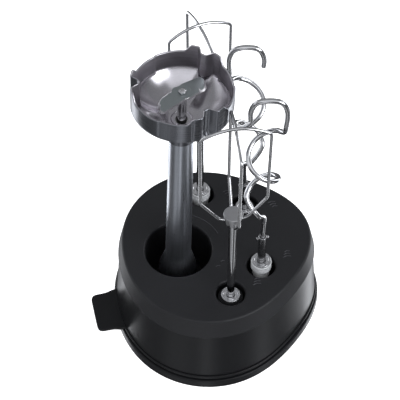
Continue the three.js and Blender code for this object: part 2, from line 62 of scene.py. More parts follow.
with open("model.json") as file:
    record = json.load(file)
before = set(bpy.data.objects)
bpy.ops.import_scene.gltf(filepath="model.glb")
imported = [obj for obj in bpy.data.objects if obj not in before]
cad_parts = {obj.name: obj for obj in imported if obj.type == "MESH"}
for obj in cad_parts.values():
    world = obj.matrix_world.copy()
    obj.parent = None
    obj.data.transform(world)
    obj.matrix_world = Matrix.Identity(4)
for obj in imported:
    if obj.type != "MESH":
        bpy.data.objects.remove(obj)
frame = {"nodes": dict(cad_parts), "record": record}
cad_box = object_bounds()

# ---- Stand, mm ----
MM = 0.001
TOUCH = 0.3  # gap between pieces that touch
OUTLINE_SHARES = (0, 0, 0.0097, 0.0385, 0.0111, 0.0052)  # cosine terms that make the egg
SKIRT_DROP = 15.5  # height of the cover's sloping skirt
SKIRT_FLARE = 3.5
PANEL_THICK = 2.5
SHELL_WALL = 2.2
BODY_FLARE = 6.5
BODY_INSET = 1.0
SPIGOT = 6.5  # overlap of body and cover, and of body and tray
TRAY_FLARE = 9.4
TRAY_LIP = 7.6
TRAY_BAND = 8.0
TRAY_GROOVE = 1.6
TRAY_FLOOR = 2.2
FLOOR_GAP = 0.8
TAB_WIDTH = 31.8
TAB_ROOT_WIDTH = 35.5
TAB_THICK = 2.4
TAB_CORNER = 5.0
LUG_HEIGHT = 20.0
LUG_THICK = 2.5
LUG_WIDTH = 12.0
POST_RADIUS = 4.0
SCREW_HOLE = 1.8
SCREW_ANGLES = (0, 125, 235)
FOOT_ANGLES = (0, 90, 180, 270)
WELL_WALL = 1.6
BODY_STEP = 2.0  # how far the body's foot steps in to go inside the tray
PILOT_DEPTH = 13.0  # screw hole in each of the cover's posts
FOOT_RADIUS = 6.0
FOOT_POCKET = 1.4  # depth of the tray's pocket for each foot
STAND_STEPS = 180
MERGE_DISTANCE = 0.0005
SHARP_ANGLE = math.radians(38)

# ---- Blending stick, mm, heights from the panel's top ----
STICK_LEAN = 1.7
STICK_LEAN_TO = -13.5
SOCKET_RADIUS = 13.5
SOCKET_BORE = 9.0
SOCKET_SHOULDER = -22.0
WEB_THICK = 4.0  # wall across the coupling, above its socket
FLARE_TOP = -1.0
TUBE_RADII = (9.05, 8.5, 7.7)  # at the foot, the middle and the bell
TUBE_MIDDLE = 57.0
TUBE_WALL = 1.0
TUBE_TOP = 133.1
BELL_RADIUS = 31.8
BELL_TOP = 163.0
BELL_FLOOR = 134.6
BELL_WALL = 1.2
BELL_NECK = 15.0
NECK_BORE = 8.1
DENT_ANGLES = (48.5, 168.5, 288.5)
DENT_DEPTH = 5.0
DENT_HALF_WIDTH = 3.0
CREASE_HEIGHT = 149.5  # where the bell's upright band meets the bowl
DENT_HEIGHT = 15.0
LOBE_RISE = 5.0
LOBE_HALF_WIDTH = 26.0
FACET_LEAD = 39.0  # degrees from a dent back to the middle of its flat on the outer band
FACET_HALF_WIDTH = 19.0
FACET_DEPTH = 0.6
FOLD_HEIGHT = 2.2  # ridge across the bowl from its middle to each dent
DRIVE_RADIUS = 1.5
DRIVE_FOOT = -34.0
RUNNING_GAP = 0.15  # round the turning shaft
SPINDLE_RADIUS = 2.75  # shoulder that the knife sits on, above the seal
SEAL_RADIUS = 3.2
SEAL_LIP = 1.0  # how far the seal stands above the bell's floor
BLADE_HEIGHT = 157.0
BLADE_REACH = 20.5
BLADE_THICK = 1.6
BLADE_ANGLE = 211.5
BLADE_DROP = 12.0  # degrees that the bent wing slopes down
BLADE_BEND = 5.0  # axis to the line where that wing bends
BLADE_HUB = 5.8
LEADING_WIDTH = 6.3  # axis to a wing's ground edge
TRAILING_WIDTH = 5.2
FACET_WIDTH = 2.8  # ground facet along the leading edge
NUT_RADIUS = 2.6
NUT_HEIGHT = 2.0

# ---- Beaters, mm, heights from the panel's top ----
BEATER_RADIUS = 21.0
BEATER_CORNER = 160.0
BEATER_CROWN = 167.0
BEATER_LOW = 101.0
HUB_HEIGHT = 88.0
HUB_RADIUS = 6.25
HUB_SKIRT_RADIUS = 4.6
HUB_SKIRT_FROM = 79.0
HUB_CAP = 1.8  # thickness of the hub's wide top
HUB_ROOF = 1.6  # metal over the end of the shaft
BEATER_SHAFT = 2.65
BEATER_TURNS = {"front": -126.7, "rear": 130.2}  # from the bell's bearing, degrees

# ---- Dough hooks, mm, heights from the panel's top ----
HOOK_RADIUS = 10.8
HOOK_STEM = 57.0
HOOK_START = 74.0
HOOK_END = 136.5
HOOK_CROWN = 167.5
HOOK_TIP_DROP = 19.0
HOOK_TURNS = 1.5
HOOK_OFFSET = 1.9
HOOK_LEAN_TO = 166.5
HOOK_LEANS = {"front": 0.5, "rear": 1.1}
HOOK_DROPS = {"front": 0.0, "rear": 8.5}
HOOK_HANDS = {"front": -1, "rear": 1}
SLEEVE_RADIUS = 2.9
SLEEVE_TOP = 33.0
SLEEVE_LUG = 4.4
SLEEVE_BORE_FOOT = 3.0

# ---- Collars: outer radius, top and length ----
TALL_COLLAR = (7.15, 5.0, 14.0)
SUNK_COLLAR = (8.4, -3.0, 12.0)
WASHER_RADIUS = 6.5
WASHER_THICK = 1.0


def polar(radius, degrees, height=0.0):
    """The point at a radius, a direction and a height."""
    angle = math.radians(degrees)
    return Vector((radius * math.cos(angle), radius * math.sin(angle), height))


def smoothstep(value, start, end):
    """0 before start, 1 after end, and smooth between them."""
    share = min(1.0, max(0.0, (value - start) / (end - start)))
    return share * share * (3 - 2 * share)


def blend(start, end, share):
    return start + (end - start) * share


def outline(angle):
    """Share of the mean radius that the egg has in a direction, in radians."""
    return 1 + sum(share * math.cos(n * angle) for n, share in enumerate(OUTLINE_SHARES))


cover_low, cover_high = (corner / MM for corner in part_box("top_cover"))
tray_low, tray_high = (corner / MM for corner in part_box("bottom_tray"))
TOP = cover_high.z
LIP_HEIGHT = TOP - SKIRT_DROP
LIP_RADIUS = (cover_high.x - cover_low.x) / (outline(0) + outline(math.pi))
PANEL_RADIUS = LIP_RADIUS - SKIRT_FLARE
STAND_MIDDLE = cover_high.x - LIP_RADIUS * outline(0)
TRAY_HEIGHT = tray_high.z
TAB_TIP = STAND_MIDDLE - tray_low.x
BODY_TOP = LIP_HEIGHT + SPIGOT
BODY_FOOT = TRAY_HEIGHT - SPIGOT
SCREW_RING = (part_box("cover_screw_1")[0].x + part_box("cover_screw_1")[1].x) / 2 / MM - STAND_MIDDLE
FOOT_RING = (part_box("foot_1")[0].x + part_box("foot_1")[1].x) / 2 / MM - STAND_MIDDLE
WELL_NODES = ("stick_well", "front_beater_well", "rear_beater_well", "front_hook_well", "rear_hook_well")
SIDES = ("front", "rear")


def well_facts(node):
    """A well's middle, bore radius and floor height, in millimetres in the row frame."""
    low, high = (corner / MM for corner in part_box(node))
    radius = (high.x - low.x) / 2 - WELL_WALL
    return Vector(((low.x + high.x) / 2, (low.y + high.y) / 2, 0)), radius, low.z + WELL_WALL


def stand_matrix():
    """Puts a shape that is centred on the stand in the row frame."""
    return Matrix.Scale(MM, 4) @ Matrix.Translation((STAND_MIDDLE, 0, 0))


def tool_matrix(well, lean=0.0, lean_to=0.0, drop=0.0):
    """Puts a shape that stands at a well, its height from the panel's top, in the row frame."""
    middle, _, _ = well_facts(well)
    place = Matrix.Translation(middle + Vector((0, 0, TOP - drop)))
    return Matrix.Scale(MM, 4) @ place @ Matrix.Rotation(math.radians(lean), 4, polar(1, lean_to + 90))


def stick_matrix():
    return tool_matrix("stick_well", STICK_LEAN, STICK_LEAN_TO)


def hook_matrix(side):
    return tool_matrix(f"{side}_hook_well", HOOK_LEANS[side], HOOK_LEAN_TO, HOOK_DROPS[side])


# ---- Shapes ----
def soften(points, steps=5):
    """An outline whose corners are rounded: each point is (across, up) or (across, up, rounding)."""
    line = []
    for index, (across, up, *rounding) in enumerate(points):
        corner = Vector((across, up))
        if not rounding:
            line.append(corner)
            continue
        before = Vector(points[index - 1][:2]) - corner
        after = Vector(points[(index + 1) % len(points)][:2]) - corner
        come = corner + before.normalized() * min(rounding[0], before.length * 0.49)
        leave = corner + after.normalized() * min(rounding[0], after.length * 0.49)
        for step in range(steps + 1):
            share = step / steps
            line.append(come.lerp(corner, share).lerp(corner.lerp(leave, share), share))
    return line


def turned(profile, steps=96, ring=False):
    """A shape turned about Z from (radius, height) points; a ring's profile closes on itself."""
    bm = bmesh.new()
    verts = [bm.verts.new((across, 0, up)) for across, up in profile]
    edges = [bm.edges.new(pair) for pair in zip(verts, verts[1:])]
    if ring:
        edges.append(bm.edges.new((verts[-1], verts[0])))
    bmesh.ops.spin(bm, geom=verts + edges, cent=(0, 0, 0), axis=(0, 0, 1), angle=math.tau,
                   steps=steps, use_merge=True)
    bmesh.ops.remove_doubles(bm, verts=bm.verts, dist=MERGE_DISTANCE)
    bmesh.ops.recalc_face_normals(bm, faces=bm.faces)
    return bm


def egg(bm):
    """Moves a turned shape out or in to the egg outline."""
    for vert in bm.verts:
        share = outline(math.atan2(vert.co.y, vert.co.x))
        vert.co.x *= share
        vert.co.y *= share
    return bm


def rod(radius, start, end, steps=32, chamfer=0.3):
    """A round bar on the axis, its ends chamfered."""
    return turned([(0, start), (radius - chamfer, start), (radius, start + chamfer),
                   (radius, end - chamfer), (radius - chamfer, end), (0, end)], steps)


def block(size, middle, angle=0.0):
    """A box of a size, moved to its middle and then turned about Z."""
    bm = bmesh.new()
    scale = Matrix.Diagonal((*size, 1))
    turn = Matrix.Rotation(math.radians(angle), 4, "Z")
    bmesh.ops.create_cube(bm, size=1, matrix=turn @ Matrix.Translation(middle) @ scale)
    return bm


def moved(bm, place):
    bmesh.ops.translate(bm, vec=place, verts=bm.verts)
    return bm


def plate(points, thick):
    """A flat plate of the outline's shape, lying on z = 0."""
    bm = bmesh.new()
    face = bm.faces.new([bm.verts.new((x, y, 0)) for x, y in points])
    grown = bmesh.ops.extrude_face_region(bm, geom=[face])["geom"]
    bmesh.ops.translate(bm, vec=(0, 0, thick), verts=[g for g in grown if isinstance(g, bmesh.types.BMVert)])
    bmesh.ops.recalc_face_normals(bm, faces=bm.faces)
    return bm


def swept(points, radii, sides):
    """A round wire through the points, with its radius at each, closed at both ends."""
    bm = bmesh.new()
    heading = (points[1] - points[0]).normalized()
    turn = Vector((0, 0, 1)).rotation_difference(heading).to_matrix().to_4x4()
    bmesh.ops.create_circle(bm, segments=sides, radius=radii[0], matrix=Matrix.Translation(points[0]) @ turn)
    edges = bm.edges[:]
    ends = points[1:] + [points[-1] * 2 - points[-2]]
    for index in range(1, len(points)):
        last, point, coming = points[index - 1], points[index], ends[index]
        grown = bmesh.ops.extrude_edge_only(bm, edges=edges)["geom"]
        verts = [g for g in grown if isinstance(g, bmesh.types.BMVert)]
        edges = [g for g in grown if isinstance(g, bmesh.types.BMEdge) and g.is_boundary]
        onward = ((point - last).normalized() + (coming - point).normalized()).normalized()
        bend = heading.rotation_difference(onward).to_matrix()
        bmesh.ops.rotate(bm, cent=last, matrix=bend, verts=verts)
        bmesh.ops.translate(bm, vec=point - last, verts=verts)
        swell = radii[index] / radii[index - 1]
        bmesh.ops.scale(bm, vec=(swell, swell, swell), space=Matrix.Translation(-point), verts=verts)
        heading = onward
    bmesh.ops.holes_fill(bm, edges=[edge for edge in bm.edges if edge.is_boundary], sides=0)
    bmesh.ops.recalc_face_normals(bm, faces=bm.faces)
    return bm


def round_ended(points, radius):
    """The points and radii of a wire whose two ends are rounded over."""
    steps = (0.35, 0.75, 0.93)
    first = (points[1] - points[0]).normalized() * radius * 0.35
    last = (points[-1] - points[-2]).normalized() * radius * 0.35
    start = [points[0] + first * share for share in (0, 0.3, 0.7)]
    end = [points[-1] - last * share for share in (0.7, 0.3, 0)]
    inner = points[1:-1]
    line = start + [points[0] + first * 1.4] + inner + [points[-1] - last * 1.4] + end
    radii = [radius * share for share in steps] + [radius] * (len(inner) + 2)
    return line, radii + [radius * share for share in reversed(steps)]


def flowing(points, each):
    """Points along a smooth curve through the given ones, with a number of steps between each two."""
    chain = [points[0] * 2 - points[1], *points, points[-1] * 2 - points[-2]]
    line = []
    for a, b, c, d in zip(chain, chain[1:], chain[2:], chain[3:]):
        at_b = math.sqrt((b - a).length)
        at_c = at_b + math.sqrt((c - b).length)
        at_d = at_c + math.sqrt((d - c).length)
        for step in range(each):
            at = blend(at_b, at_c, step / each)
            ab = blend(a, b, at / at_b)
            bc = blend(b, c, (at - at_b) / (at_c - at_b))
            cd = blend(c, d, (at - at_c) / (at_d - at_c))
            abc = blend(ab, bc, at / at_c)
            bcd = blend(bc, cd, (at - at_b) / (at_d - at_b))
            line.append(blend(abc, bcd, (at - at_b) / (at_c - at_b)))
    return line + [points[-1]]


def bent(points, rounding):
    """Points along straight runs between the given ones, rounded at each corner."""
    steps = 8
    line = [points[0]]
    for before, corner, after in zip(points, points[1:], points[2:]):
        come = corner.lerp(before, min(0.45, rounding / (before - corner).length))
        leave = corner.lerp(after, min(0.45, rounding / (after - corner).length))
        for step in range(steps + 1):
            share = step / steps
            line.append(come.lerp(corner, share).lerp(corner.lerp(leave, share), share))
    return line + [points[-1]]


def loose_object(bm):
    mesh = bpy.data.meshes.new("loose")
    bm.to_mesh(mesh)
    bm.free()
    made = bpy.data.objects.new("loose", mesh)
    bpy.context.scene.collection.objects.link(made)
    return made


def carved(bm, tools, operation="DIFFERENCE"):
    """The shape once each tool is cut from it, or joined to it with UNION."""
    base = loose_object(bm)
    cutters = [loose_object(tool) for tool in tools]
    for cutter in cutters:
        modifier = base.modifiers.new("carve", "BOOLEAN")
        modifier.operation = operation
        modifier.solver = "EXACT"
        modifier.object = cutter
    evaluated = base.evaluated_get(bpy.context.evaluated_depsgraph_get())
    result = bmesh.new()
    result.from_mesh(evaluated.to_mesh())
    evaluated.to_mesh_clear()
    for spent in (base, *cutters):
        mesh = spent.data
        bpy.data.objects.remove(spent)
        bpy.data.meshes.remove(mesh)
    bmesh.ops.remove_doubles(result, verts=result.verts, dist=MERGE_DISTANCE)
    return result


def joined(shapes):
    """One mesh that holds several separate shapes."""
    whole = bmesh.new()
    for shape in shapes:
        mesh = bpy.data.meshes.new("loose")
        shape.to_mesh(mesh)
        shape.free()
        whole.from_mesh(mesh)
        bpy.data.meshes.remove(mesh)
    return whole


def make_piece(name, bm, matrix, body, finish, nodes=(), bevel=0.0):
    """Places a shape, gives it its finish, puts it under its body's empty and hides the frame's parts that it
    stands for.
    """
    if name in bpy.data.objects:
        raise RuntimeError(f"{name} is already made")
    bm.transform(matrix)
    mesh = bpy.data.meshes.new(name)
    bm.to_mesh(mesh)
    bm.free()
    mesh.materials.append(finish)
    mesh.shade_smooth()
    mesh.set_sharp_from_angle(angle=SHARP_ANGLE)
    piece = bpy.data.objects.new(name, mesh)
    bpy.context.scene.collection.objects.link(piece)
    if bevel:
        edge = piece.modifiers.new("soft_edges", "BEVEL")
        edge.width = bevel * MM
        edge.segments = 3
        edge.limit_method = "ANGLE"
        edge.angle_limit = SHARP_ANGLE
        edge.use_clamp_overlap = True
    normals = piece.modifiers.new("even_normals", "WEIGHTED_NORMAL")
    normals.keep_sharp = not bevel
    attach(piece, body)
    if nodes:
        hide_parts(*nodes)
    return piece


# ---- Shader maths ----
class Signal:
    """A shader socket that takes Python arithmetic; each operation adds its Math node."""

    def __init__(self, paint, socket):
        self.paint = paint
        self.socket = socket

    def math(self, operation, *others):
        return self.paint.node("ShaderNodeMath", {"operation": operation}, self, *others)

    def __add__(self, other):
        return self.math("ADD", other)

    def __sub__(self, other):
        return self.math("SUBTRACT", other)

    def __mul__(self, other):
        return self.math("MULTIPLY", other)

    def __rsub__(self, other):
        return self.paint.node("ShaderNodeMath", {"operation": "SUBTRACT"}, other, self)

    __radd__ = __add__
    __rmul__ = __mul__

    def step(self, start, end):
        """0 before start, 1 after end, and smooth between them."""
        return self.paint.node("ShaderNodeMapRange", {"interpolation_type": "SMOOTHSTEP"}, self, start, end)


class Nodes:
    """A shader tree that nodes are added to."""

    def __init__(self, tree):
        self.tree = tree

    def node(self, kind, settings, *values, output=0):
        """Adds a node: its settings first, then the value or link of each socket in order."""
        made = self.tree.nodes.new(kind)
        for name, setting in settings.items():
            setattr(made, name, setting)
        for socket, value in zip(made.inputs, values):
            if isinstance(value, Signal):
                self.tree.links.new(value.socket, socket)
            elif value is not None:
                socket.default_value = value
        return Signal(self, made.outputs[output])

    def vector(self, operation, *values, output="Vector"):
        return self.node("ShaderNodeVectorMath", {"operation": operation}, *values, output=output)

    def mix(self, share, first, second):
        """A colour between two others; the node's five number and vector sockets stay unused."""
        ends = [end if isinstance(end, Signal) else (*end[:3], 1) for end in (first, second)]
        return self.node("ShaderNodeMix", {"data_type": "RGBA"}, share, *[None] * 5, *ends, output=2)


class Paint(Nodes):
    """A material under construction, on the coordinates of the tool or stand that it belongs to."""

    def __init__(self, name, matrix=None):
        self.material = bpy.data.materials.new(name)
        self.material.use_nodes = True
        super().__init__(self.material.node_tree)
        self.shader = self.tree.nodes["Principled BSDF"]
        place = matrix or stand_matrix()
        here = self.node("ShaderNodeTexCoord", {}, output="Object")
        spot = tuple(place.translation)
        turn = tuple(place.to_euler())
        self.point = self.node("ShaderNodeMapping", {"vector_type": "TEXTURE"},
                               here, spot, turn, (MM, MM, MM))

    def stretch(self, amounts):
        """The piece's own point, scaled along each axis."""
        return self.vector("MULTIPLY", self.point, amounts)

    def axis(self, name):
        return self.node("ShaderNodeSeparateXYZ", {}, self.point, output=name)

    def radius(self):
        """Distance from the piece's own axis, mm."""
        return self.vector("LENGTH", self.stretch((1, 1, 0)), output="Value")

    def noise(self, point, scale, detail=3.0, roughness=0.5):
        return self.node("ShaderNodeTexNoise", {}, point, None, scale, detail, roughness)

    def relief(self, height, depth, strength=1.0):
        """A bump of a depth in mm from a height between 0 and 1."""
        return self.node("ShaderNodeBump", {}, strength, depth * MM, None, height)

    def finish(self, **sockets):
        """Sets or links the shader's sockets and returns the material."""
        for name, value in sockets.items():
            socket = self.shader.inputs[name.replace("_", " ").title().replace("Ior", "IOR")]
            if isinstance(value, Signal):
                self.tree.links.new(value.socket, socket)
            else:
                socket.default_value = value
        return self.material


def shade(colour, amount):
    return tuple(channel * amount for channel in colour[:3])


def moulded(name, colour, shine, grain, depth, gloss):
    """Moulded plastic: a fine grain, slow changes of tone and faint rub marks."""
    paint = Paint(name)
    fine = paint.noise(paint.point, 1 / grain, 4, 0.6)
    broad = paint.noise(paint.point, 0.035, 2)
    rubs = paint.noise(paint.stretch((0.12, 1.1, 1.1)), 0.9, 5, 0.7).step(0.56, 0.74)
    tone = paint.mix(broad, shade(colour, 0.82), shade(colour, 1.18))
    return paint.finish(
        base_color=paint.mix(rubs * 0.35, tone, shade(colour, 1.7)),
        roughness=shine + (broad - 0.5) * 0.1 + (fine - 0.5) * 0.12 - rubs * 0.04,
        specular_ior_level=gloss,
        normal=paint.relief(fine, depth),
    )


def sleeve_steel(name, matrix, colour):
    """The hooks' sleeves: brushed lengthwise with fine lines."""
    paint = Paint(name, matrix)
    point = paint.stretch((1, 1, 0.03))
    coarse = paint.noise(point, 0.56, 3, 0.6)
    fine = paint.noise(point, 4.0, 3, 0.65)
    cloud = paint.noise(paint.point, 0.05, 2)
    worn = 0.5 + (coarse - 0.5) * 0.4 + (fine - 0.5) * 0.2 + (cloud - 0.5) * 0.2
    return paint.finish(
        base_color=paint.mix(worn, shade(colour, 0.55), shade(colour, 1.35)),
        metallic=1.0,
        roughness=0.2 + (fine - 0.5) * 0.2 + (coarse - 0.5) * 0.1,
        normal=paint.relief(fine, 0.006),
    )


def tube_steel(name, matrix, colour):
    """The tube: brushed lengthwise with long streaks, duller towards its flared foot."""
    paint = Paint(name, matrix)
    streaks = paint.noise(paint.stretch((1, 1, 0.004)), 0.55, 4, 0.7)
    fine = paint.noise(paint.stretch((1, 1, 0.02)), 3.2, 3, 0.65)
    rings = paint.noise(paint.stretch((0.05, 0.05, 1)), 0.9, 3, 0.6)
    foot = 1 - paint.axis("Z").step(-8, 30)
    worn = 0.5 + (streaks - 0.5) * 1.1 + (fine - 0.5) * 0.5 + (rings - 0.5) * 0.3
    return paint.finish(
        base_color=paint.mix(worn, shade(colour, 0.9), shade(colour, 1.7)),
        metallic=1.0,
        roughness=0.31 + foot * 0.06 + (fine - 0.5) * 0.2,
        normal=paint.relief(fine, 0.014),
    )


def lathe_marked(name, matrix, colour, shine=0.24):
    """A small turned piece: fine rings round its own axis."""
    paint = Paint(name, matrix)
    around = paint.node("ShaderNodeCombineXYZ", {}, paint.radius(), 0.0, paint.axis("Z"))
    rings = paint.noise(around, 3.0, 3, 0.6)
    haze = paint.noise(paint.point, 0.25, 3)
    tone = 0.5 + (rings - 0.5) * 0.8 + (haze - 0.5) * 0.4
    return paint.finish(
        base_color=paint.mix(tone, shade(colour, 0.75), shade(colour, 1.2)),
        metallic=1.0,
        roughness=shine + (rings - 0.5) * 0.14,
        normal=paint.relief(rings, 0.008),
    )


def polished(name, matrix, colour):
    """Drawn and polished wire or turned bar: nearly a mirror, with faint die lines and haze."""
    paint = Paint(name, matrix)
    haze = paint.noise(paint.point, 0.3, 3)
    die_lines = paint.noise(paint.stretch((1, 1, 0.04)), 5, 3, 0.6)
    return paint.finish(
        base_color=paint.mix(haze, shade(colour, 0.8), shade(colour, 1.12)),
        metallic=1.0,
        roughness=0.12 + (haze - 0.5) * 0.06 + (die_lines - 0.5) * 0.06,
        normal=paint.relief(die_lines, 0.006),
    )


def spun_steel(name, matrix, colour):
    """The bell: a polished bowl, turned lines round its inner band and drawn lines down its outside, whose
    colour is painted dark as painted shade.
    """
    paint = Paint(name, matrix)
    height = paint.axis("Z")
    radius = paint.radius()
    around = paint.node("ShaderNodeCombineXYZ", {}, radius, 0.0, height)
    rings = paint.noise(around, 2.4, 4, 0.7)
    drawn = paint.noise(paint.stretch((1, 1, 0.02)), 1.1, 4, 0.65)
    haze = paint.noise(paint.point, 0.09, 3)
    normal = paint.node("ShaderNodeNewGeometry", {}, output="Normal")
    outward = paint.vector("NORMALIZE", paint.stretch((1, 1, 0)))
    outside = paint.vector("DOT_PRODUCT", normal, outward, output="Value").step(0.2, 0.5)
    turning = height.step(CREASE_HEIGHT - 0.4, CREASE_HEIGHT + 0.4) * (1 - outside)
    tone = (0.5 + (rings - 0.5) * (0.2 + turning * 1.3) + (drawn - 0.5) * outside * 1.6
            + (haze - 0.5) * 0.5)
    inner = paint.mix(tone, shade(colour, 0.65), shade(colour, 1.25))
    return paint.finish(
        # The outside of the shell is mixed most of the way to a near-black grey: painted shade on the same
        # steel as the inside
        base_color=paint.mix(outside * 0.7, inner, (0.13, 0.145, 0.165)),
        metallic=1.0,
        roughness=0.2 + turning * 0.14 + (rings - 0.5) * 0.08 + outside * 0.08,
        normal=paint.relief(rings * (0.2 + turning) + drawn * outside, 0.03, 0.6),
    )


def ground_steel(name, matrix, colour):
    """The knife: dull flat faces, and ground or cut facets that are a little smoother and painted near white
    as a painted highlight.
    """
    paint = Paint(name, matrix)
    fine = paint.noise(paint.stretch((1, 0.08, 1)), 2.6, 3, 0.65)
    cloud = paint.noise(paint.point, 0.12, 3)
    normal = paint.node("ShaderNodeNewGeometry", {}, output="Normal")
    tilt = paint.vector("DOT_PRODUCT", normal, tuple(matrix.to_3x3().col[2].normalized()), output="Value")
    # Faces tilted away from the plate's face get a near-white colour, which is a painted highlight, and a
    # little less roughness for their grinding
    ground = 1 - tilt.step(0.9, 0.95)
    flat = paint.mix(0.5 + (fine - 0.5) * 0.6 + (cloud - 0.5) * 0.5, shade(colour, 0.75), shade(colour, 1.25))
    return paint.finish(
        base_color=paint.mix(ground, flat, (0.95, 0.94, 0.95)),
        metallic=1.0,
        roughness=0.42 - ground * 0.1 + (fine - 0.5) * 0.15,
        normal=paint.relief(fine, 0.008),
    )


def rubber(name, colour):
    paint = Paint(name)
    fine = paint.noise(paint.point, 3.5, 4, 0.6)
    dust = paint.noise(paint.point, 0.4, 5, 0.7).step(0.5, 0.8)
    return paint.finish(
        base_color=paint.mix(dust * 0.4, colour, shade(colour, 2.4)),
        roughness=0.72 + (fine - 0.5) * 0.2,
        normal=paint.relief(fine, 0.04),
    )


def plain_floor(name, colour):
    paint = Paint(name)
    cloud = paint.noise(paint.point, 0.01, 2)
    return paint.finish(
        base_color=paint.mix(cloud, shade(colour, 0.99), colour),
        roughness=0.9,
        specular_ior_level=0.1,
        emission_color=(1, 1, 1, 1),
        emission_strength=0.85,
    )


def record_colour(slot):
    """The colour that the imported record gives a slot."""
    found = [entry["base_color"] for entry in frame["record"]["materials"] if entry["slot"] == slot]
    if not found:
        raise RuntimeError(f"the record has no material slot {slot}")
    return tuple(found[0][:3])


# ---- Values a user would change ----
def colour_property(name, description, default):
    return bpy.props.FloatVectorProperty(name=name, description=description, default=default,
                                         subtype="COLOR", size=3, min=0, max=1)


def length_property(name, description, default):
    return bpy.props.FloatProperty(name=name, description=description, default=default * MM,
                                   subtype="DISTANCE", unit="LENGTH", min=0)


class StandSizes(bpy.types.PropertyGroup):
    """Sizes that the finished pieces add to the frame"""

    edge_round: length_property("Panel edge", "Rounding of the panel's edge", 1.5)
    mouth_round: length_property("Well mouth", "Rounding of the panel into each well", 1.6)
    tab_round: length_property("Tab edge", "Rounding of the finger tab's edges", 0.5)
    mark_height: length_property("Mark height", "How far the marks stand off the panel", 0.35)
    beater_wire: length_property("Beater wire", "Radius of the beaters' wire", 1.0)
    hook_wire: length_property("Hook wire", "Radius of the dough hooks' wire", 1.7)
    wire_bend: length_property("Wire bend", "Rounding of the beater wire's corners", 2.2)


class StandColours(bpy.types.PropertyGroup):
    """Colours of the finished pieces"""

    charcoal: colour_property("Charcoal", "Top cover", (0.0095, 0.0097, 0.011))
    satin: colour_property("Satin black", "Body and tray", (0.0055, 0.0057, 0.0064))
    light_plastic: colour_property("Light plastic", "Pale collars", record_colour("light_grey_plastic"))
    tube_steel: colour_property("Tube steel", "Stick's tube", (0.44, 0.46, 0.5))
    bell_steel: colour_property("Bell steel", "Stick's bell", (0.5, 0.485, 0.51))
    wire_steel: colour_property("Wire steel", "Wires, shafts and washers", (0.6, 0.6, 0.61))
    blade_steel: colour_property("Blade steel", "Knife", (0.33, 0.36, 0.365))
    rubber: colour_property("Rubber", "Feet and seal", record_colour("rubber"))
    floor: colour_property("Floor", "Floor under the stand", (0.9, 0.9, 0.9))


def sizes():
    return bpy.context.scene.stand_sizes


def colours():
    return bpy.context.scene.stand_colours


def once(name, make):
    """The named material, made the first time that it is asked for."""
    return bpy.data.materials.get(name) or make()


def charcoal_plastic():
    return once("charcoal_plastic", lambda: moulded(
        "charcoal_plastic", colours().charcoal, 0.52, 0.34, 0.035, 0.32))


def satin_plastic():
    return once("satin_plastic", lambda: moulded(
        "satin_plastic", colours().satin, 0.34, 0.5, 0.012, 0.22))


def mark_plastic():
    # The raised marks are the panel's charcoal painted 3.2 times lighter: a painted highlight on their relief
    return once("mark_plastic", lambda: moulded(
        "mark_plastic", shade(colours().charcoal, 3.2), 0.4, 0.34, 0.02, 0.4))


def well_plastic():
    # The cups are the cover's charcoal at half its lightness: painted shade down in the wells
    return once("well_plastic", lambda: moulded(
        "well_plastic", shade(colours().charcoal, 0.5), 0.5, 0.5, 0.02, 0.25))


def pale_plastic():
    return once("pale_plastic", lambda: moulded(
        "pale_plastic", shade(colours().light_plastic, 0.72), 0.4, 0.4, 0.02, 0.5))


def wire_steel():
    return once("wire_steel", lambda: polished("wire_steel", stand_matrix(), colours().wire_steel))


def foot_rubber():
    return once("foot_rubber", lambda: rubber("foot_rubber", colours().rubber))


class PieceOperator:
    """What every operator here shares"""

    bl_options = {"REGISTER", "UNDO"}

    def execute(self, context):
        self.make(context)
        return {"FINISHED"}


# ---- Stand ----
def skirt_out(height):
    """How far the skirt stands out past the panel's edge at a height."""
    return SKIRT_FLARE * (TOP - height) / SKIRT_DROP


def body_out(height):
    share = (height - LIP_HEIGHT) / (TRAY_HEIGHT - LIP_HEIGHT)
    return blend(SKIRT_FLARE - BODY_INSET, BODY_FLARE, share)


def well_steps(radius):
    """Steps round a well: more for the stick's large one."""
    return 96 if radius > 15 else 64


class STAND_OT_cover(PieceOperator, bpy.types.Operator):
    """Makes the top cover: panel, rounded well mouths, skirt and screw posts"""

    bl_idname = "stand.cover"
    bl_label = "Top Cover"

    def make(self, context):
        edge = sizes().edge_round / MM
        mouth = sizes().mouth_round / MM
        under = TOP - PANEL_THICK
        shell = egg(turned(soften([
            (0, under),
            (PANEL_RADIUS + skirt_out(under) - SHELL_WALL, under, 1.2),
            (LIP_RADIUS - SHELL_WALL, LIP_HEIGHT, 0.4),
            (LIP_RADIUS, LIP_HEIGHT, 1.1),
            (PANEL_RADIUS, TOP, edge * 1.1),
            (0, TOP),
        ], 6), STAND_STEPS))
        post_foot = LUG_HEIGHT + LUG_THICK + TOUCH
        posts = [moved(rod(POST_RADIUS, post_foot, under + PANEL_THICK / 2, 32), polar(SCREW_RING, angle))
                 for angle in SCREW_ANGLES]
        pilots = [moved(rod(SCREW_HOLE, post_foot - 1, post_foot + PILOT_DEPTH, 24), polar(SCREW_RING, angle))
                  for angle in SCREW_ANGLES]
        mouths = []
        for node in WELL_NODES:
            middle, radius, _ = well_facts(node)
            curve = [(radius + mouth - mouth * math.cos(a), TOP - mouth + mouth * math.sin(a))
                     for a in (math.pi / 2 * step / 7 for step in range(8))]
            profile = [(0, under - 1), (radius, under - 1), *curve, (radius + mouth, TOP + 1), (0, TOP + 1)]
            place = middle - Vector((STAND_MIDDLE, 0, 0))
            mouths.append(moved(turned(profile, well_steps(radius)), place))
        shape = carved(carved(shell, posts, "UNION"), pilots + mouths)
        make_piece("cover_moulding", shape, stand_matrix(), "stand",
                   charcoal_plastic(), ("top_cover",))


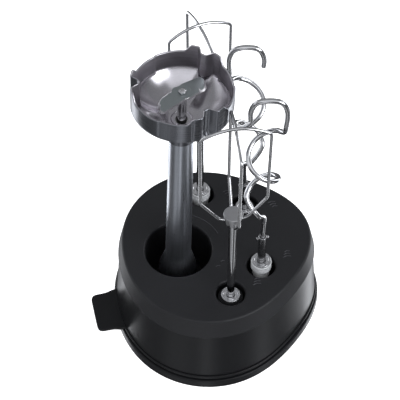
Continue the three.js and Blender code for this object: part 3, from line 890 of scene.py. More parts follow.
class STAND_OT_body(PieceOperator, bpy.types.Operator):
    """Makes the flared body between cover and tray"""

    bl_idname = "stand.body"
    bl_label = "Lower Body"

    def make(self, context):
        spigot_out = PANEL_RADIUS + SKIRT_FLARE - SHELL_WALL - TOUCH
        spigot_top = PANEL_RADIUS + skirt_out(BODY_TOP) - SHELL_WALL - TOUCH
        foot_out = PANEL_RADIUS + BODY_FLARE - BODY_STEP
        shoulder = LIP_HEIGHT - TOUCH
        shell = egg(turned(soften([
            (foot_out - SHELL_WALL, BODY_FOOT, 0.3),
            (foot_out, BODY_FOOT, 0.3),
            (foot_out, TRAY_HEIGHT + TOUCH, 0.3),
            (PANEL_RADIUS + BODY_FLARE, TRAY_HEIGHT + TOUCH, 0.8),
            (PANEL_RADIUS + body_out(shoulder), shoulder, 0.6),
            (spigot_out, shoulder, 0.3),
            (spigot_top, BODY_TOP, 0.3),
            (spigot_top - SHELL_WALL, BODY_TOP, 0.3),
            (spigot_out - SHELL_WALL, shoulder, 0.3),
            (PANEL_RADIUS + body_out(TRAY_HEIGHT + 4) - SHELL_WALL, TRAY_HEIGHT + 4, 0.3),
        ]), STAND_STEPS, ring=True))
        lugs = []
        for angle in SCREW_ANGLES:
            wall = (PANEL_RADIUS + body_out(LUG_HEIGHT) - SHELL_WALL / 2) * outline(math.radians(angle))
            inner = SCREW_RING - LUG_WIDTH / 2
            middle = ((wall + inner) / 2, 0, LUG_HEIGHT + LUG_THICK / 2)
            lugs.append(block((wall - inner, LUG_WIDTH, LUG_THICK), middle, angle))
        hole_top = LUG_HEIGHT + LUG_THICK + 1
        holes = [moved(rod(SCREW_HOLE, LUG_HEIGHT - 1, hole_top, 24), polar(SCREW_RING, angle))
                 for angle in SCREW_ANGLES]
        shape = carved(carved(shell, lugs, "UNION"), holes)
        make_piece("body_moulding", shape, stand_matrix(), "stand",
                   satin_plastic(), ("lower_body",))


def tab_shape():
    """The finger tab: flat, with round corners, widening to its root."""
    half = TAB_WIDTH / 2
    root_half = TAB_ROOT_WIDTH / 2
    root = PANEL_RADIUS * 0.9
    edge = PANEL_RADIUS + TRAY_LIP
    side = soften([(-root, root_half), (-edge + 1, root_half, 9), (-edge - 4, half, 4),
                   (-TAB_TIP, half, TAB_CORNER), (-TAB_TIP, 0)], 8)[:-1]
    points = side + [Vector((x, -y)) for x, y in reversed(side)]
    tab = plate(points, TAB_THICK)
    rim = [edge for edge in tab.edges if abs(edge.verts[0].co.z - edge.verts[1].co.z) < 1e-6
           and min(vert.co.x for vert in edge.verts) < -root]
    bmesh.ops.bevel(tab, geom=rim, offset=sizes().tab_round / MM, offset_type="OFFSET", segments=3,
                    profile=0.5, affect="EDGES", material=-1, clamp_overlap=True)
    return moved(tab, (0, 0, TRAY_HEIGHT - TAB_THICK))


class STAND_OT_tray(PieceOperator, bpy.types.Operator):
    """Makes the bottom tray: grooved band, lip, floor, foot pockets and finger tab"""

    bl_idname = "stand.tray"
    bl_label = "Bottom Tray"

    def make(self, context):
        lip_from = TRAY_BAND + TRAY_GROOVE
        groove = PANEL_RADIUS + TRAY_LIP - 1
        outer = egg(turned(soften([
            (0, FLOOR_GAP),
            (PANEL_RADIUS + TRAY_FLARE, FLOOR_GAP, 0.8),
            (PANEL_RADIUS + TRAY_FLARE - 0.6, TRAY_BAND, 1.0),
            (groove, TRAY_BAND, 0.2),
            (groove, lip_from, 0.2),
            (PANEL_RADIUS + TRAY_LIP, lip_from, 0.3),
            (PANEL_RADIUS + TRAY_LIP, TRAY_HEIGHT, 0.8),
            (0, TRAY_HEIGHT),
        ]), STAND_STEPS))
        room = PANEL_RADIUS + BODY_FLARE - BODY_STEP + TOUCH
        floor = FLOOR_GAP + TRAY_FLOOR
        inner = egg(turned(soften([
            (0, floor),
            (room, floor, 1.0),
            (room, TRAY_HEIGHT + 1),
            (0, TRAY_HEIGHT + 1),
        ]), STAND_STEPS))
        pockets = [moved(rod(FOOT_RADIUS + TOUCH, -1, FOOT_POCKET + TOUCH, 48, 0.1), polar(FOOT_RING, angle))
                   for angle in FOOT_ANGLES]
        shape = carved(carved(outer, [tab_shape()], "UNION"), [inner, *pockets])
        make_piece("tray_moulding", shape, stand_matrix(), "tray",
                   satin_plastic(), ("bottom_tray",))


class STAND_OT_feet(PieceOperator, bpy.types.Operator):
    """Makes the four rubber feet, each with two grooves in its sole"""

    bl_idname = "stand.feet"
    bl_label = "Feet"

    def make(self, context):
        for index, angle in enumerate(FOOT_ANGLES, 1):
            low, high = (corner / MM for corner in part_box(f"foot_{index}"))
            radius, thick = (high.x - low.x) / 2, high.z
            profile = soften([(0, 0), (1.6, 0), (1.8, 0.35), (2.3, 0.35), (2.5, 0), (3.6, 0), (3.8, 0.35),
                              (4.3, 0.35), (4.5, 0), (radius, 0, 0.5), (radius, thick, 0.2), (0, thick)])
            shape = moved(turned(profile, 64), polar(FOOT_RING, angle))
            make_piece(f"foot_pad_{index}", shape, stand_matrix(), "tray", foot_rubber(),
                       (f"foot_{index}",))


class STAND_OT_wells(PieceOperator, bpy.types.Operator):
    """Makes the five cups that hang under the panel's mouths"""

    bl_idname = "stand.wells"
    bl_label = "Wells"

    def make(self, context):
        for node in WELL_NODES:
            middle, radius, floor = well_facts(node)
            top = TOP - PANEL_THICK - TOUCH
            outer = radius + WELL_WALL
            profile = soften([
                (0, floor - WELL_WALL),
                (outer, floor - WELL_WALL, 2.0),
                (outer, top, 0.2),
                (radius, top, 0.2),
                (radius, floor + 8, 0.3),
                (radius - 0.5, floor + 7, 0.3),
                (radius - 0.5, floor, 1.6),
                (0, floor),
            ])
            shape = moved(turned(profile, well_steps(radius)), middle)
            make_piece(f"{node}_cup", shape, Matrix.Scale(MM, 4), "stand",
                       well_plastic(), (node,))


def mark_stroke(points, width, height):
    """A low rounded bar along a curved line on the panel."""
    line, radii = round_ended(flowing([Vector((x, y, 0)) for x, y in points], 5), width / 2)
    bar = swept(line, radii, 10)
    bmesh.ops.scale(bar, vec=(1, 1, 2 * height / width), verts=bar.verts)
    return moved(bar, (0, 0, TOP))


class STAND_OT_marks(PieceOperator, bpy.types.Operator):
    """Makes the plain raised marks: bowed bars by the small wells, an arc and dashes by the stick's"""

    bl_idname = "stand.marks"
    bl_label = "Panel Marks"

    def make(self, context):
        height = sizes().mark_height / MM
        strokes = []
        for node in WELL_NODES[1:]:
            middle, radius, _ = well_facts(node)
            facing = -1 if middle.y < 0 else 1
            start = Vector((middle.x + radius + 6.5, middle.y - facing * 2.5))
            for row in range(3):
                at = start + Vector((row * 1.1, -facing * row * 2.1))
                reach = 5.6 - row * 0.9
                strokes.append(mark_stroke(
                    [at, at + Vector((reach / 2, 0.8)), at + Vector((reach, 0))], 0.7, height))
        middle, radius, _ = well_facts("stick_well")
        arc = [middle.xy + polar(radius + 7.5, angle).xy for angle in range(12, 61, 8)]
        strokes.append(mark_stroke(arc, 0.6, height))
        for away, angle in ((8, -34), (7, -44), (8, 78)):
            spot = middle.xy + polar(radius + away, angle).xy
            dash = [spot, spot + Vector((1.6, 0.5)), spot + Vector((3.2, 0))]
            strokes.append(mark_stroke(dash, 0.55, height))
        make_piece("panel_marks", joined(strokes), Matrix.Scale(MM, 4), "stand",
                   mark_plastic())


# ---- Blending stick ----
def tube_out(height):
    """The tube's outer radius at a height above the panel."""
    foot, middle, bell = TUBE_RADII
    if height < TUBE_MIDDLE:
        return blend(foot, middle, height / TUBE_MIDDLE)
    return blend(middle, bell, (height - TUBE_MIDDLE) / (BELL_FLOOR - TUBE_MIDDLE))


class STAND_OT_tube(PieceOperator, bpy.types.Operator):
    """Makes the stick's steel tube with its flared foot"""

    bl_idname = "stand.tube"
    bl_label = "Stick Tube"

    def make(self, context):
        foot = SOCKET_SHOULDER + TOUCH
        drop = FLARE_TOP - foot
        flare = [(tube_out(0) + (SOCKET_RADIUS - tube_out(0)) * smoothstep(share, 0, 1) ** 0.75,
                  FLARE_TOP - drop * share) for share in (1 - step / 18 for step in range(19))]
        outside = [*flare, (tube_out(TUBE_MIDDLE), TUBE_MIDDLE), (tube_out(TUBE_TOP), TUBE_TOP)]
        inside = [(radius - TUBE_WALL, height) for radius, height in reversed(outside)]
        shape = turned([*outside, *inside], 96, ring=True)
        finish = tube_steel("tube_steel", stick_matrix(), colours().tube_steel)
        make_piece("tube_shell", shape, stick_matrix(), "stick", finish,
                   ("stick_tube",), 0.2)


class STAND_OT_coupling(PieceOperator, bpy.types.Operator):
    """Makes the plastic coupling inside the tube's flared foot"""

    bl_idname = "stand.coupling"
    bl_label = "Stick Coupling"

    def make(self, context):
        low, high = (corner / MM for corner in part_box("stick_coupling"))
        foot = low.z - TOP + SOCKET_RADIUS * math.sin(math.radians(STICK_LEAN))
        inner = [(radius - TUBE_WALL - 0.5, height) for radius, height in (
            (SOCKET_RADIUS - 0.5, SOCKET_SHOULDER + 4), (SOCKET_RADIUS - 2, SOCKET_SHOULDER + 9),
            (TUBE_RADII[0] + 1, FLARE_TOP - 6), (TUBE_RADII[0], FLARE_TOP))]
        spigot = TUBE_RADII[0] - TUBE_WALL - TOUCH - 0.2
        web = SOCKET_SHOULDER
        shell = turned(soften([
            (SOCKET_BORE, foot, 0.6),
            (SOCKET_RADIUS, foot, 0.8),
            (SOCKET_RADIUS, SOCKET_SHOULDER, 0.3),
            (SOCKET_RADIUS - TUBE_WALL - 0.5, SOCKET_SHOULDER),
            *inner,
            (spigot, high.z - TOP),
            (spigot - 1.5, high.z - TOP),
            (spigot - 1.5, web + WEB_THICK),
            (DRIVE_RADIUS + RUNNING_GAP, web + WEB_THICK),
            (DRIVE_RADIUS + RUNNING_GAP, web),
            (SOCKET_BORE, web),
        ]), 96, ring=True)
        slots = [block((3, 2.2, 9), (SOCKET_RADIUS + 1, 0, foot + 8), angle) for angle in range(0, 360, 30)]
        make_piece("coupling_moulding", carved(shell, slots), stick_matrix(), "stick",
                   satin_plastic(), ("stick_coupling",))


def bell_profile():
    """The bell's section: neck, shallow bowl, crease, upright band and rolled rim, outside first."""
    neck = NECK_BORE + BELL_WALL
    steps = 26

    def bowl(start, radius, floor, crease):
        depth = crease - floor
        sphere = (radius ** 2 + depth ** 2) / (2 * depth)
        across = [blend(start, radius, step / steps) for step in range(steps + 1)]
        return [(r, floor + sphere - math.sqrt(sphere ** 2 - r ** 2)) for r in across]

    under = BELL_FLOOR - BELL_WALL
    half = BELL_WALL / 2
    rim = [(BELL_RADIUS - half + half * math.cos(a), BELL_TOP - half + half * math.sin(a))
           for a in (math.pi * step / 8 for step in range(9))]
    outer_rows = [(BELL_RADIUS, blend(CREASE_HEIGHT, BELL_TOP - half, row / 18)) for row in range(1, 18)]
    inner_rows = [(radius - BELL_WALL, height) for radius, height in reversed(outer_rows)]
    inside = bowl(6.9, BELL_RADIUS - BELL_WALL - 0.35, BELL_FLOOR + 0.1, CREASE_HEIGHT)
    return [
        (NECK_BORE, BELL_FLOOR - BELL_NECK), (neck, BELL_FLOOR - BELL_NECK), (neck, under + 0.6),
        *bowl(neck + 1, BELL_RADIUS - 0.3, under, CREASE_HEIGHT - BELL_WALL * 0.6),
        *outer_rows, *rim, *inner_rows, *reversed(inside),
        (6.5, BELL_FLOOR + 0.2), (6.1, BELL_FLOOR), (DRIVE_RADIUS + 2.6, BELL_FLOOR),
        (DRIVE_RADIUS + 2.6, under), (NECK_BORE, under),
    ]


def press_bell(bm):
    """Raises the rim's lobes and presses in the grooves, flats and folds."""
    for vert in bm.verts:
        x, y, z = vert.co
        radius = math.hypot(x, y)
        angle = math.degrees(math.atan2(y, x))
        turn = min(((angle - at + 180) % 360 - 180 for at in DENT_ANGLES), key=abs)
        across = math.radians(abs(turn)) * radius
        outward = smoothstep(radius, 13, BELL_RADIUS - 4)
        low_end = BELL_TOP - DENT_HEIGHT + DENT_HALF_WIDTH
        away = math.hypot(across, max(0.0, low_end - z))
        dent = 1 - smoothstep(away, DENT_HALF_WIDTH * 0.4, DENT_HALF_WIDTH * 1.9)
        lobe = 1 - smoothstep(abs(turn), LOBE_HALF_WIDTH * 0.68, LOBE_HALF_WIDTH * 1.04)
        back = (turn + FACET_LEAD + 180) % 360 - 180
        flat = 1 - smoothstep(abs(back), FACET_HALF_WIDTH - 0.8, FACET_HALF_WIDTH + 0.8)
        on_band = smoothstep(z, CREASE_HEIGHT - 1, CREASE_HEIGHT + 1) * outward
        fold = FOLD_HEIGHT * math.exp(-(across / 4.5) ** 2) * smoothstep(radius, 8, 15)
        fold *= (1 - smoothstep(radius, 26, 31)) * (1 - smoothstep(abs(turn), 30, 55))
        steep = smoothstep(radius, 14, 28)
        inward = DENT_DEPTH * dent * outward + FACET_DEPTH * flat * on_band + fold * steep
        share = 1 - inward / radius
        rise = LOBE_RISE * lobe * smoothstep(z, CREASE_HEIGHT + 2, BELL_TOP) * outward
        vert.co = (x * share, y * share, z + rise + fold * (1 - steep))
    return bm


class STAND_OT_bell(PieceOperator, bpy.types.Operator):
    """Makes the steel bell: polished bowl, wavy rim, three pressed grooves and flats"""

    bl_idname = "stand.bell"
    bl_label = "Stick Bell"

    def make(self, context):
        shape = press_bell(turned(bell_profile(), 288, ring=True))
        finish = spun_steel("bell_steel", stick_matrix(), colours().bell_steel)
        make_piece("bell_pressing", shape, stick_matrix(), "stick", finish, ("stick_bell",))


class STAND_OT_seal(PieceOperator, bpy.types.Operator):
    """Makes the rubber seal round the knife's shaft"""

    bl_idname = "stand.seal"
    bl_label = "Shaft Seal"

    def make(self, context):
        bore = DRIVE_RADIUS + RUNNING_GAP
        bottom = TUBE_TOP + TOUCH
        lip = BELL_FLOOR + SEAL_LIP
        dish = BELL_FLOOR + 0.6
        profile = soften([(bore, bottom), (SEAL_RADIUS, bottom), (SEAL_RADIUS, lip, 0.4),
                          (2.5, lip, 0.2), (2.3, dish, 0.2), (bore, dish)])
        make_piece("seal_ring", turned(profile, 64, ring=True), stick_matrix(), "stick",
                   foot_rubber(), ("shaft_seal",))


def ground_wing(reach):
    """One wing of the knife along +X: a long edge at -Y, ground to a facet, that curves round to the tip."""
    lead, trail = LEADING_WIDTH, TRAILING_WIDTH
    run = reach * 0.46  # where the long edge stops being straight
    from_lead, to_tip = Vector((run, -lead)), Vector((reach, 1))
    bend = Vector((reach * 0.8, -lead))
    curve = [from_lead.lerp(bend, share).lerp(bend.lerp(to_tip, share), share)
             for share in (step / 10 for step in range(1, 10))]
    straight = [(run * share, -lead) for share in (0.0, 0.25, 0.5, 0.75)]
    trailing_corner = (reach * 0.99, trail * 0.78, 1.4)
    wing = plate(soften([(0, trail), *straight, from_lead, *curve, to_tip, trailing_corner], 6), BLADE_THICK)
    for vert in wing.verts:
        if vert.co.z > BLADE_THICK / 2:
            out = smoothstep(vert.co.x, BLADE_HUB * 0.5, BLADE_HUB)
            vert.co.y += FACET_WIDTH * out * smoothstep(-vert.co.y, -trail * 0.4, lead)
            vert.co.x -= 0.9 * smoothstep(vert.co.x, reach * 0.6, reach)
    return wing


class STAND_OT_knife(PieceOperator, bpy.types.Operator):
    """Makes the two-winged knife, its lock nut and its shaft"""

    bl_idname = "stand.knife"
    bl_label = "Knife"

    def make(self, context):
        hub = turned(soften([(0, 0), (BLADE_HUB, 0, 0.3), (BLADE_HUB, BLADE_THICK, 0.3),
                             (0, BLADE_THICK)]), 48)
        flat = ground_wing(BLADE_REACH)
        side = LEADING_WIDTH + TRAILING_WIDTH
        root = block((BLADE_BEND, side, BLADE_THICK),
                     (BLADE_BEND / 2, (TRAILING_WIDTH - LEADING_WIDTH) / 2, BLADE_THICK / 2), 180)
        bent_wing = ground_wing(BLADE_REACH - BLADE_BEND)
        bend_line = Matrix.Rotation(math.pi, 4, "Z") @ Matrix.Translation((BLADE_BEND, 0, BLADE_THICK))
        slope = Matrix.Rotation(math.radians(BLADE_DROP), 4, "Y")
        bent_wing.transform(bend_line @ slope @ Matrix.Translation((0, 0, -BLADE_THICK)))
        bore = rod(DRIVE_RADIUS + TOUCH, -2, BLADE_THICK + 4, 32, 0.1)
        shape = carved(carved(hub, [flat, root, bent_wing], "UNION"), [bore])
        bmesh.ops.rotate(shape, cent=(0, 0, 0), matrix=Matrix.Rotation(math.radians(BLADE_ANGLE), 3, "Z"),
                         verts=shape.verts)
        moved(shape, (0, 0, BLADE_HEIGHT))
        finish = ground_steel("blade_steel", stick_matrix(), colours().blade_steel)
        make_piece("knife_pressing", shape, stick_matrix(), "knife", finish,
                   ("knife_blade",), 0.12)
        start = BLADE_HEIGHT + BLADE_THICK + TOUCH
        nut = turned([(0, start), (NUT_RADIUS, start), (NUT_RADIUS, start + 1.1), (2.25, start + 1.45),
                      (1.7, start + 1.5), (1.5, start + NUT_HEIGHT), (0, start + NUT_HEIGHT)], 6)
        make_piece("knife_lock_nut", nut, stick_matrix(), "knife", wire_steel(),
                   ("knife_nut",), 0.15)
        shoulder_foot = BELL_FLOOR + SEAL_LIP + TOUCH
        shoulder_top = BLADE_HEIGHT - TOUCH
        shaft = turned(soften([
            (0, DRIVE_FOOT),
            (DRIVE_RADIUS, DRIVE_FOOT, 0.3),
            (DRIVE_RADIUS, shoulder_foot),
            (SPINDLE_RADIUS, shoulder_foot, 0.3),
            (SPINDLE_RADIUS, shoulder_top, 0.3),
            (DRIVE_RADIUS, shoulder_top),
            (DRIVE_RADIUS, BLADE_HEIGHT + BLADE_THICK, 0.2),
            (0, BLADE_HEIGHT + BLADE_THICK),
        ]), 48)
        make_piece("knife_spindle", shaft, stick_matrix(), "knife", wire_steel(),
                   ("knife_shaft",))


# ---- Beaters ----
def grooved_end(radius, foot, rounding):
    """The outline up a tool's lower end, past the groove that the mixer's chuck holds."""
    return [(0, foot), (radius, foot, rounding), (radius, foot + 8), (radius - 0.5, foot + 8.6),
            (radius - 0.5, foot + 10.4), (radius, foot + 11)]


def beater_wire(turn, crown_drop):
    """One of the two wire frames: up one side, over the crown and down the other."""
    wire = sizes().beater_wire / MM
    foot = HUB_SKIRT_RADIUS + TOUCH + wire * 0.3

    def side(degrees):
        return [polar(foot, degrees, HUB_SKIRT_FROM + 3.5), polar(foot + 4, degrees, HUB_SKIRT_FROM + 5),
                polar(BEATER_RADIUS, degrees, BEATER_LOW), polar(BEATER_RADIUS, degrees, BEATER_CORNER)]

    top = BEATER_CROWN - crown_drop
    arch = [polar(BEATER_RADIUS * across, turn, blend(BEATER_CORNER, top, 1 - across ** 2))
            for across in (0.75, 0.5, 0.25, 0, -0.25, -0.5, -0.75)]
    points = [*side(turn), *arch, *reversed(side(turn + 180))]
    return swept(*round_ended(bent(points, sizes().wire_bend / MM), wire), 18)


class STAND_OT_beaters(PieceOperator, bpy.types.Operator):
    """Makes the two beaters: crossed wires, slotted hub and shaft"""

    bl_idname = "stand.beaters"
    bl_label = "Beaters"

    def make(self, context):
        stick, _, _ = well_facts("stick_well")
        for side in SIDES:
            well = f"{side}_beater_well"
            middle, _, floor = well_facts(well)
            bearing = math.degrees(math.atan2(stick.y - middle.y, stick.x - middle.x))
            turn = bearing + BEATER_TURNS[side]
            place = tool_matrix(well)
            wire = sizes().beater_wire / MM
            for name, angle, drop in (("a", turn, 0), ("b", turn + 90, 2 * wire + TOUCH)):
                make_piece(f"{side}_beater_wire_{name}", beater_wire(angle, drop), place, f"{side}_beater",
                           wire_steel(), (f"{side}_beater_frame_{name}",))
            roof = HUB_HEIGHT - HUB_ROOF
            cap = HUB_HEIGHT - HUB_CAP
            hub = turned(soften([
                (0, roof),
                (BEATER_SHAFT + TOUCH, roof),
                (BEATER_SHAFT + TOUCH, HUB_SKIRT_FROM, 0.2),
                (HUB_SKIRT_RADIUS, HUB_SKIRT_FROM, 0.3),
                (HUB_SKIRT_RADIUS, cap),
                (HUB_RADIUS, cap, 0.3),
                (HUB_RADIUS, HUB_HEIGHT, 0.45),
                (0, HUB_HEIGHT),
            ]), 64)
            slot_middle = (HUB_SKIRT_RADIUS + 0.6, 0, HUB_SKIRT_FROM + 1.2)
            slots = [block((3.2, 1.5, 4.4), slot_middle, turn + 45 + step) for step in range(0, 360, 90)]
            dull = shade(colours().wire_steel, 0.85)
            hub_steel = lathe_marked(f"{side}_beater_hub_steel", place, dull, 0.42)
            make_piece(f"{side}_beater_hub_cap", carved(hub, slots), place, f"{side}_beater",
                       hub_steel, (f"{side}_beater_hub",), 0.12)
            shaft = turned(soften([
                *grooved_end(BEATER_SHAFT, floor - TOP + TOUCH, 0.8),
                (BEATER_SHAFT, roof - TOUCH, 0.2),
                (0, roof - TOUCH),
            ]), 64)
            make_piece(f"{side}_beater_spindle", shaft, place, f"{side}_beater",
                       wire_steel(), (f"{side}_beater_shaft",))


# ---- Dough hooks ----
def hook_path(side):
    """The wire's middle line: up the axis, round the spiral, then over the crown to a free end."""
    start_angle = HOOK_LEAN_TO if side == "front" else HOOK_LEAN_TO + 180
    hand = HOOK_HANDS[side]
    steps = 9 * HOOK_TURNS
    points = [Vector((0, 0, height)) for height in (SLEEVE_TOP - 8, SLEEVE_TOP, HOOK_STEM - 3)]
    points.append(polar(HOOK_RADIUS * 0.55, start_angle - hand * 50, HOOK_STEM + 4))
    for index in range(int(steps) + 1):
        share = index / steps
        offset = HOOK_OFFSET * (1 - smoothstep(share, 0.6, 1))
        turn = polar(HOOK_RADIUS - offset / 2, start_angle + hand * 360 * HOOK_TURNS * share,
                     blend(HOOK_START, HOOK_END, share))
        points.append(turn + polar(offset, start_angle))
    last = start_angle + hand * 360 * HOOK_TURNS
    top = HOOK_CROWN - sizes().hook_wire / MM
    points += [
        polar(HOOK_RADIUS, last, HOOK_END + 8),
        polar(HOOK_RADIUS, last, top - 9),
        polar(HOOK_RADIUS * 0.7, last, top - 2),
        Vector((0, 0, top)),
        polar(HOOK_RADIUS * 0.7, last + 180, top - 2),
        polar(HOOK_RADIUS, last + 180, top - 9),
        polar(HOOK_RADIUS, last + 180, HOOK_CROWN - HOOK_TIP_DROP),
    ]
    return flowing(points, 9)


class STAND_OT_hooks(PieceOperator, bpy.types.Operator):
    """Makes the two dough hooks: spiral wire and sleeve with two lugs"""

    bl_idname = "stand.hooks"
    bl_label = "Dough Hooks"

    def make(self, context):
        wire = sizes().hook_wire / MM
        finish = sleeve_steel("sleeve_steel", stand_matrix(), shade(colours().wire_steel, 0.7))
        for side in SIDES:
            place = hook_matrix(side)
            body = f"{side}_hook"
            make_piece(f"{side}_hook_rod", swept(*round_ended(hook_path(side), wire), 24), place, body,
                       wire_steel(), (f"{side}_hook_wire",))
            _, _, floor = well_facts(f"{side}_hook_well")
            foot = floor - TOP + TOUCH + HOOK_DROPS[side]
            sleeve = turned(soften([
                *grooved_end(SLEEVE_RADIUS, foot, 0.7),
                (SLEEVE_RADIUS, SLEEVE_TOP, 0.5),
                (wire + TOUCH, SLEEVE_TOP, 0.15),
                (wire + TOUCH, SLEEVE_BORE_FOOT),
                (0, SLEEVE_BORE_FOOT),
            ]), 64)
            lug = block((2 * SLEEVE_LUG, 1.8, 2.4), (0, 0, SLEEVE_TOP - 2))
            bmesh.ops.bevel(lug, geom=lug.edges[:], offset=0.4, offset_type="OFFSET", segments=3, profile=0.5,
                            affect="EDGES", material=-1)
            bore = rod(wire + TOUCH, SLEEVE_BORE_FOOT + 0.2, SLEEVE_TOP + 1, 48, 0.1)
            shape = carved(carved(sleeve, [lug], "UNION"), [bore])
            make_piece(f"{side}_hook_sleeve_bar", shape, place, body, finish,
                       (f"{side}_hook_sleeve",))


# ---- Collars and washers ----
def collar_shape(collar, shaft, drop, seam):
    """A stepped cup, with either a seam and a gently wavy top edge or a small step at its top."""
    radius, top, length = collar
    top += drop
    bore = shaft + TOUCH
    step = top - length * 0.45
    rows = [
        (bore, top - length, 0.2), (radius - 1.2, top - length, 0.5), (radius - 1.2, step, 0.3),
        (radius, step, 0.4),
    ]
    if seam:
        rows += [(radius, top - 3.1), (radius - 0.3, top - 2.95), (radius - 0.3, top - 2.65),
                 (radius, top - 2.5), (radius, top, 0.5)]
    else:
        rows += [(radius, top - 1.4), (radius - 0.6, top - 1.4), (radius - 0.6, top - 0.7),
                 (radius - 1.1, top - 0.7), (radius - 1.1, top, 0.5)]
    rows.append((bore, top, 0.2))
    shape = turned(soften(rows), 96, ring=True)
    if seam:
        for vert in shape.verts:
            wave = math.cos(5 * math.atan2(vert.co.y, vert.co.x)) - 1
            vert.co.z += 0.18 * wave * smoothstep(vert.co.z, top - 2, top)
    return shape


class STAND_OT_collars(PieceOperator, bpy.types.Operator):
    """Makes the four collars and the washers that lie on them"""

    bl_idname = "stand.collars"
    bl_label = "Collars and Washers"

    def make(self, context):
        tall = (("front", "hook"), ("rear", "beater"))
        for side in SIDES:
            for tool, shaft in (("beater", BEATER_SHAFT), ("hook", SLEEVE_RADIUS)):
                pale = (side, tool) in tall
                collar = TALL_COLLAR if pale else SUNK_COLLAR
                drop = HOOK_DROPS[side] if tool == "hook" else 0
                place = hook_matrix(side) if tool == "hook" else tool_matrix(f"{side}_beater_well")
                node = f"{side}_{tool}"
                make_piece(f"{node}_collar_ring", collar_shape(collar, shaft, drop, pale), place, node,
                           pale_plastic() if pale else satin_plastic(), (f"{node}_collar",))
                start = collar[1] + drop + TOUCH
                top = start + WASHER_THICK
                inner = shaft + TOUCH
                washer = turned(soften([
                    (inner, start, 0.15),
                    (WASHER_RADIUS, start, 0.25),
                    (WASHER_RADIUS, top, 0.3),
                    (5.1, top, 0.2),
                    (4.7, top - 0.3, 0.2),
                    (inner, top - 0.3, 0.1),
                ]), 72, ring=True)
                finish = lathe_marked(f"{node}_washer_steel", place, colours().wire_steel)
                make_piece(f"{node}_washer_ring", washer, place, node, finish,
                           (f"{node}_washer",))


class STAND_OT_hidden_parts(PieceOperator, bpy.types.Operator):
    """Gives the frame's own screws, bushes and drive dog their finishes"""

    bl_idname = "stand.hidden_parts"
    bl_label = "Screws, Bushes and Drive Dog"

    def make(self, context):
        finishes = {
            "cover_screw_1": wire_steel, "cover_screw_2": wire_steel, "cover_screw_3": wire_steel,
            "lower_bush": pale_plastic, "upper_bush": pale_plastic, "drive_dog": satin_plastic,
        }
        for node, finish in finishes.items():
            mesh = frame["nodes"][node].data
            mesh.materials.clear()
            mesh.materials.append(finish())


# ---- Camera, floor and light ----
VIEW_AZIMUTH = -103.5  # where the camera stands, degrees from +X
VIEW_ELEVATION = 51.5
VIEW_DISTANCE = 0.870
VIEW_TARGET = Vector((0.00437, 0.0389, 0.0715))
VIEW_LENS = 108
VIEW_SENSOR = 36
ROOM_GLOW = 0.13  # at and below the floor
CEILING_GLOW = 0.28  # added overhead


def toward(azimuth, elevation):
    """The unit vector in a direction, in degrees."""
    level = polar(math.cos(math.radians(elevation)), azimuth)
    return level + Vector((0, 0, math.sin(math.radians(elevation))))


def softbox(name, azimuth, elevation, distance, width, height, power):
    """An area light that faces the stand; the studio's own panels make the reflections."""
    light = bpy.data.lights.new(name, "AREA")
    light.shape = "RECTANGLE"
    light.size = width
    light.size_y = height
    light.energy = power
    lamp = bpy.data.objects.new(name, light)
    bpy.context.scene.collection.objects.link(lamp)
    aim = Vector((0, 0, 0.12))
    lamp.location = aim + toward(azimuth, elevation) * distance
    lamp.rotation_euler = (aim - lamp.location).to_track_quat("-Z", "Y").to_euler()
    lamp.visible_glossy = False


# Panels of the studio: direction from the camera's side, half width, lowest and highest sine, brightness
STUDIO_PANELS = (
    (-3, 6, -0.95, 0.3, 0.85),
    (-38, 16, -0.95, -0.4, 0.28),
    (0, 50, 0.5, 0.9, 0.9),
    (52, 17, 0.05, 0.62, 6.0),
    (69, 7, -0.95, -0.4, 0.8),
    (128, 10, -0.95, 0.5, 3.4),
    (-128, 12, -0.95, 0.5, 2.4),
    (-82, 26, -0.3, 0.5, 0.8),
)


def studio_world(name):
    """A dim room with tall bright panels round it."""
    world = bpy.data.worlds.new(name)
    world.use_nodes = True
    nodes = Nodes(world.node_tree)
    way = nodes.node("ShaderNodeTexCoord", {}, output="Generated")
    height = nodes.node("ShaderNodeSeparateXYZ", {}, way, output="Z")
    level = nodes.vector("NORMALIZE", nodes.vector("MULTIPLY", way, (1, 1, 0)))
    glow = ROOM_GLOW + height.step(-0.1, 0.9) * CEILING_GLOW
    for turn, half, low, high, brightness in STUDIO_PANELS:
        facing = nodes.vector("DOT_PRODUCT", level, polar(1, VIEW_AZIMUTH + turn), output="Value")
        edge = [math.cos(math.radians(half + soft)) for soft in (3, -3)]
        tall = height.step(low - 0.1, low + 0.1) * (1 - height.step(high - 0.1, high + 0.1))
        glow = glow + facing.step(*edge) * tall * brightness
    background = world.node_tree.nodes["Background"]
    background.inputs["Color"].default_value = (0.94, 0.96, 1, 1)
    world.node_tree.links.new(glow.socket, background.inputs["Strength"])
    return world


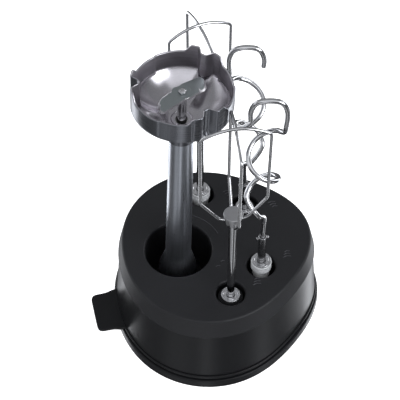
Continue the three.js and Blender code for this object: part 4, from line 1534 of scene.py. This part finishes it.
class STAND_OT_stage(PieceOperator, bpy.types.Operator):
    """Makes the camera, the pale floor and the soft studio light"""

    bl_idname = "stand.stage"
    bl_label = "Camera, Floor and Light"

    def make(self, context):
        scene = context.scene
        lens = bpy.data.cameras.new("camera")
        lens.lens = VIEW_LENS
        lens.sensor_width = VIEW_SENSOR
        lens.clip_end = 10
        camera = bpy.data.objects.new("camera", lens)
        scene.collection.objects.link(camera)
        camera.location = VIEW_TARGET + toward(VIEW_AZIMUTH, VIEW_ELEVATION) * VIEW_DISTANCE
        camera.rotation_euler = (VIEW_TARGET - camera.location).to_track_quat("-Z", "Y").to_euler()
        scene.camera = camera
        bm = bmesh.new()
        bmesh.ops.create_grid(bm, x_segments=1, y_segments=1, size=3)
        mesh = bpy.data.meshes.new("floor")
        bm.to_mesh(mesh)
        bm.free()
        mesh.materials.append(plain_floor("pale_floor", colours().floor))
        floor = bpy.data.objects.new("floor", mesh)
        scene.collection.objects.link(floor)
        floor.visible_glossy = False
        floor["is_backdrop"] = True
        softbox("key_light", VIEW_AZIMUTH + 10, 62, 1.5, 0.8, 0.5, 8)
        softbox("left_light", VIEW_AZIMUTH - 75, 45, 1.4, 0.4, 0.6, 4)
        scene.world = studio_world("studio")
        scene.view_settings.view_transform = "Standard"


PIECE_OPERATORS = (
    STAND_OT_stage, STAND_OT_cover, STAND_OT_body, STAND_OT_tray, STAND_OT_feet, STAND_OT_wells,
    STAND_OT_marks, STAND_OT_tube, STAND_OT_coupling, STAND_OT_bell, STAND_OT_seal, STAND_OT_knife,
    STAND_OT_beaters, STAND_OT_hooks, STAND_OT_collars, STAND_OT_hidden_parts,
)


class STAND_PT_pieces(bpy.types.Panel):
    """Lists the sizes, the colours and the operators that make each piece"""

    bl_idname = "STAND_PT_pieces"
    bl_label = "Attachment Stand"
    bl_space_type = "VIEW_3D"
    bl_region_type = "UI"
    bl_category = "Attachment Stand"

    def draw(self, context):
        for group in (context.scene.stand_sizes, context.scene.stand_colours):
            column = self.layout.column(align=True)
            for name in group.__annotations__:
                column.prop(group, name)
        for operator in PIECE_OPERATORS:
            self.layout.operator(operator.bl_idname)


CLASSES = (StandSizes, StandColours, *PIECE_OPERATORS, STAND_PT_pieces)


def register():
    for cls in CLASSES:
        bpy.utils.register_class(cls)
    bpy.types.Scene.stand_sizes = bpy.props.PointerProperty(type=StandSizes)
    bpy.types.Scene.stand_colours = bpy.props.PointerProperty(type=StandColours)


def unregister():
    del bpy.types.Scene.stand_colours
    del bpy.types.Scene.stand_sizes
    for cls in reversed(CLASSES):
        bpy.utils.unregister_class(cls)


def main():
    register()
    bpy.ops.stand.stage()
    bpy.ops.stand.cover()
    bpy.ops.stand.body()
    bpy.ops.stand.tray()
    bpy.ops.stand.feet()
    bpy.ops.stand.wells()
    bpy.ops.stand.marks()
    bpy.ops.stand.tube()
    bpy.ops.stand.coupling()
    bpy.ops.stand.bell()
    bpy.ops.stand.seal()
    bpy.ops.stand.knife()
    bpy.ops.stand.beaters()
    bpy.ops.stand.hooks()
    bpy.ops.stand.collars()
    bpy.ops.stand.hidden_parts()
    size = {name: [[float(value) for value in corner] for corner in box]
            for name, box in (("cad", cad_box), ("visual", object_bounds()))}


if __name__ == "__main__":
    main()
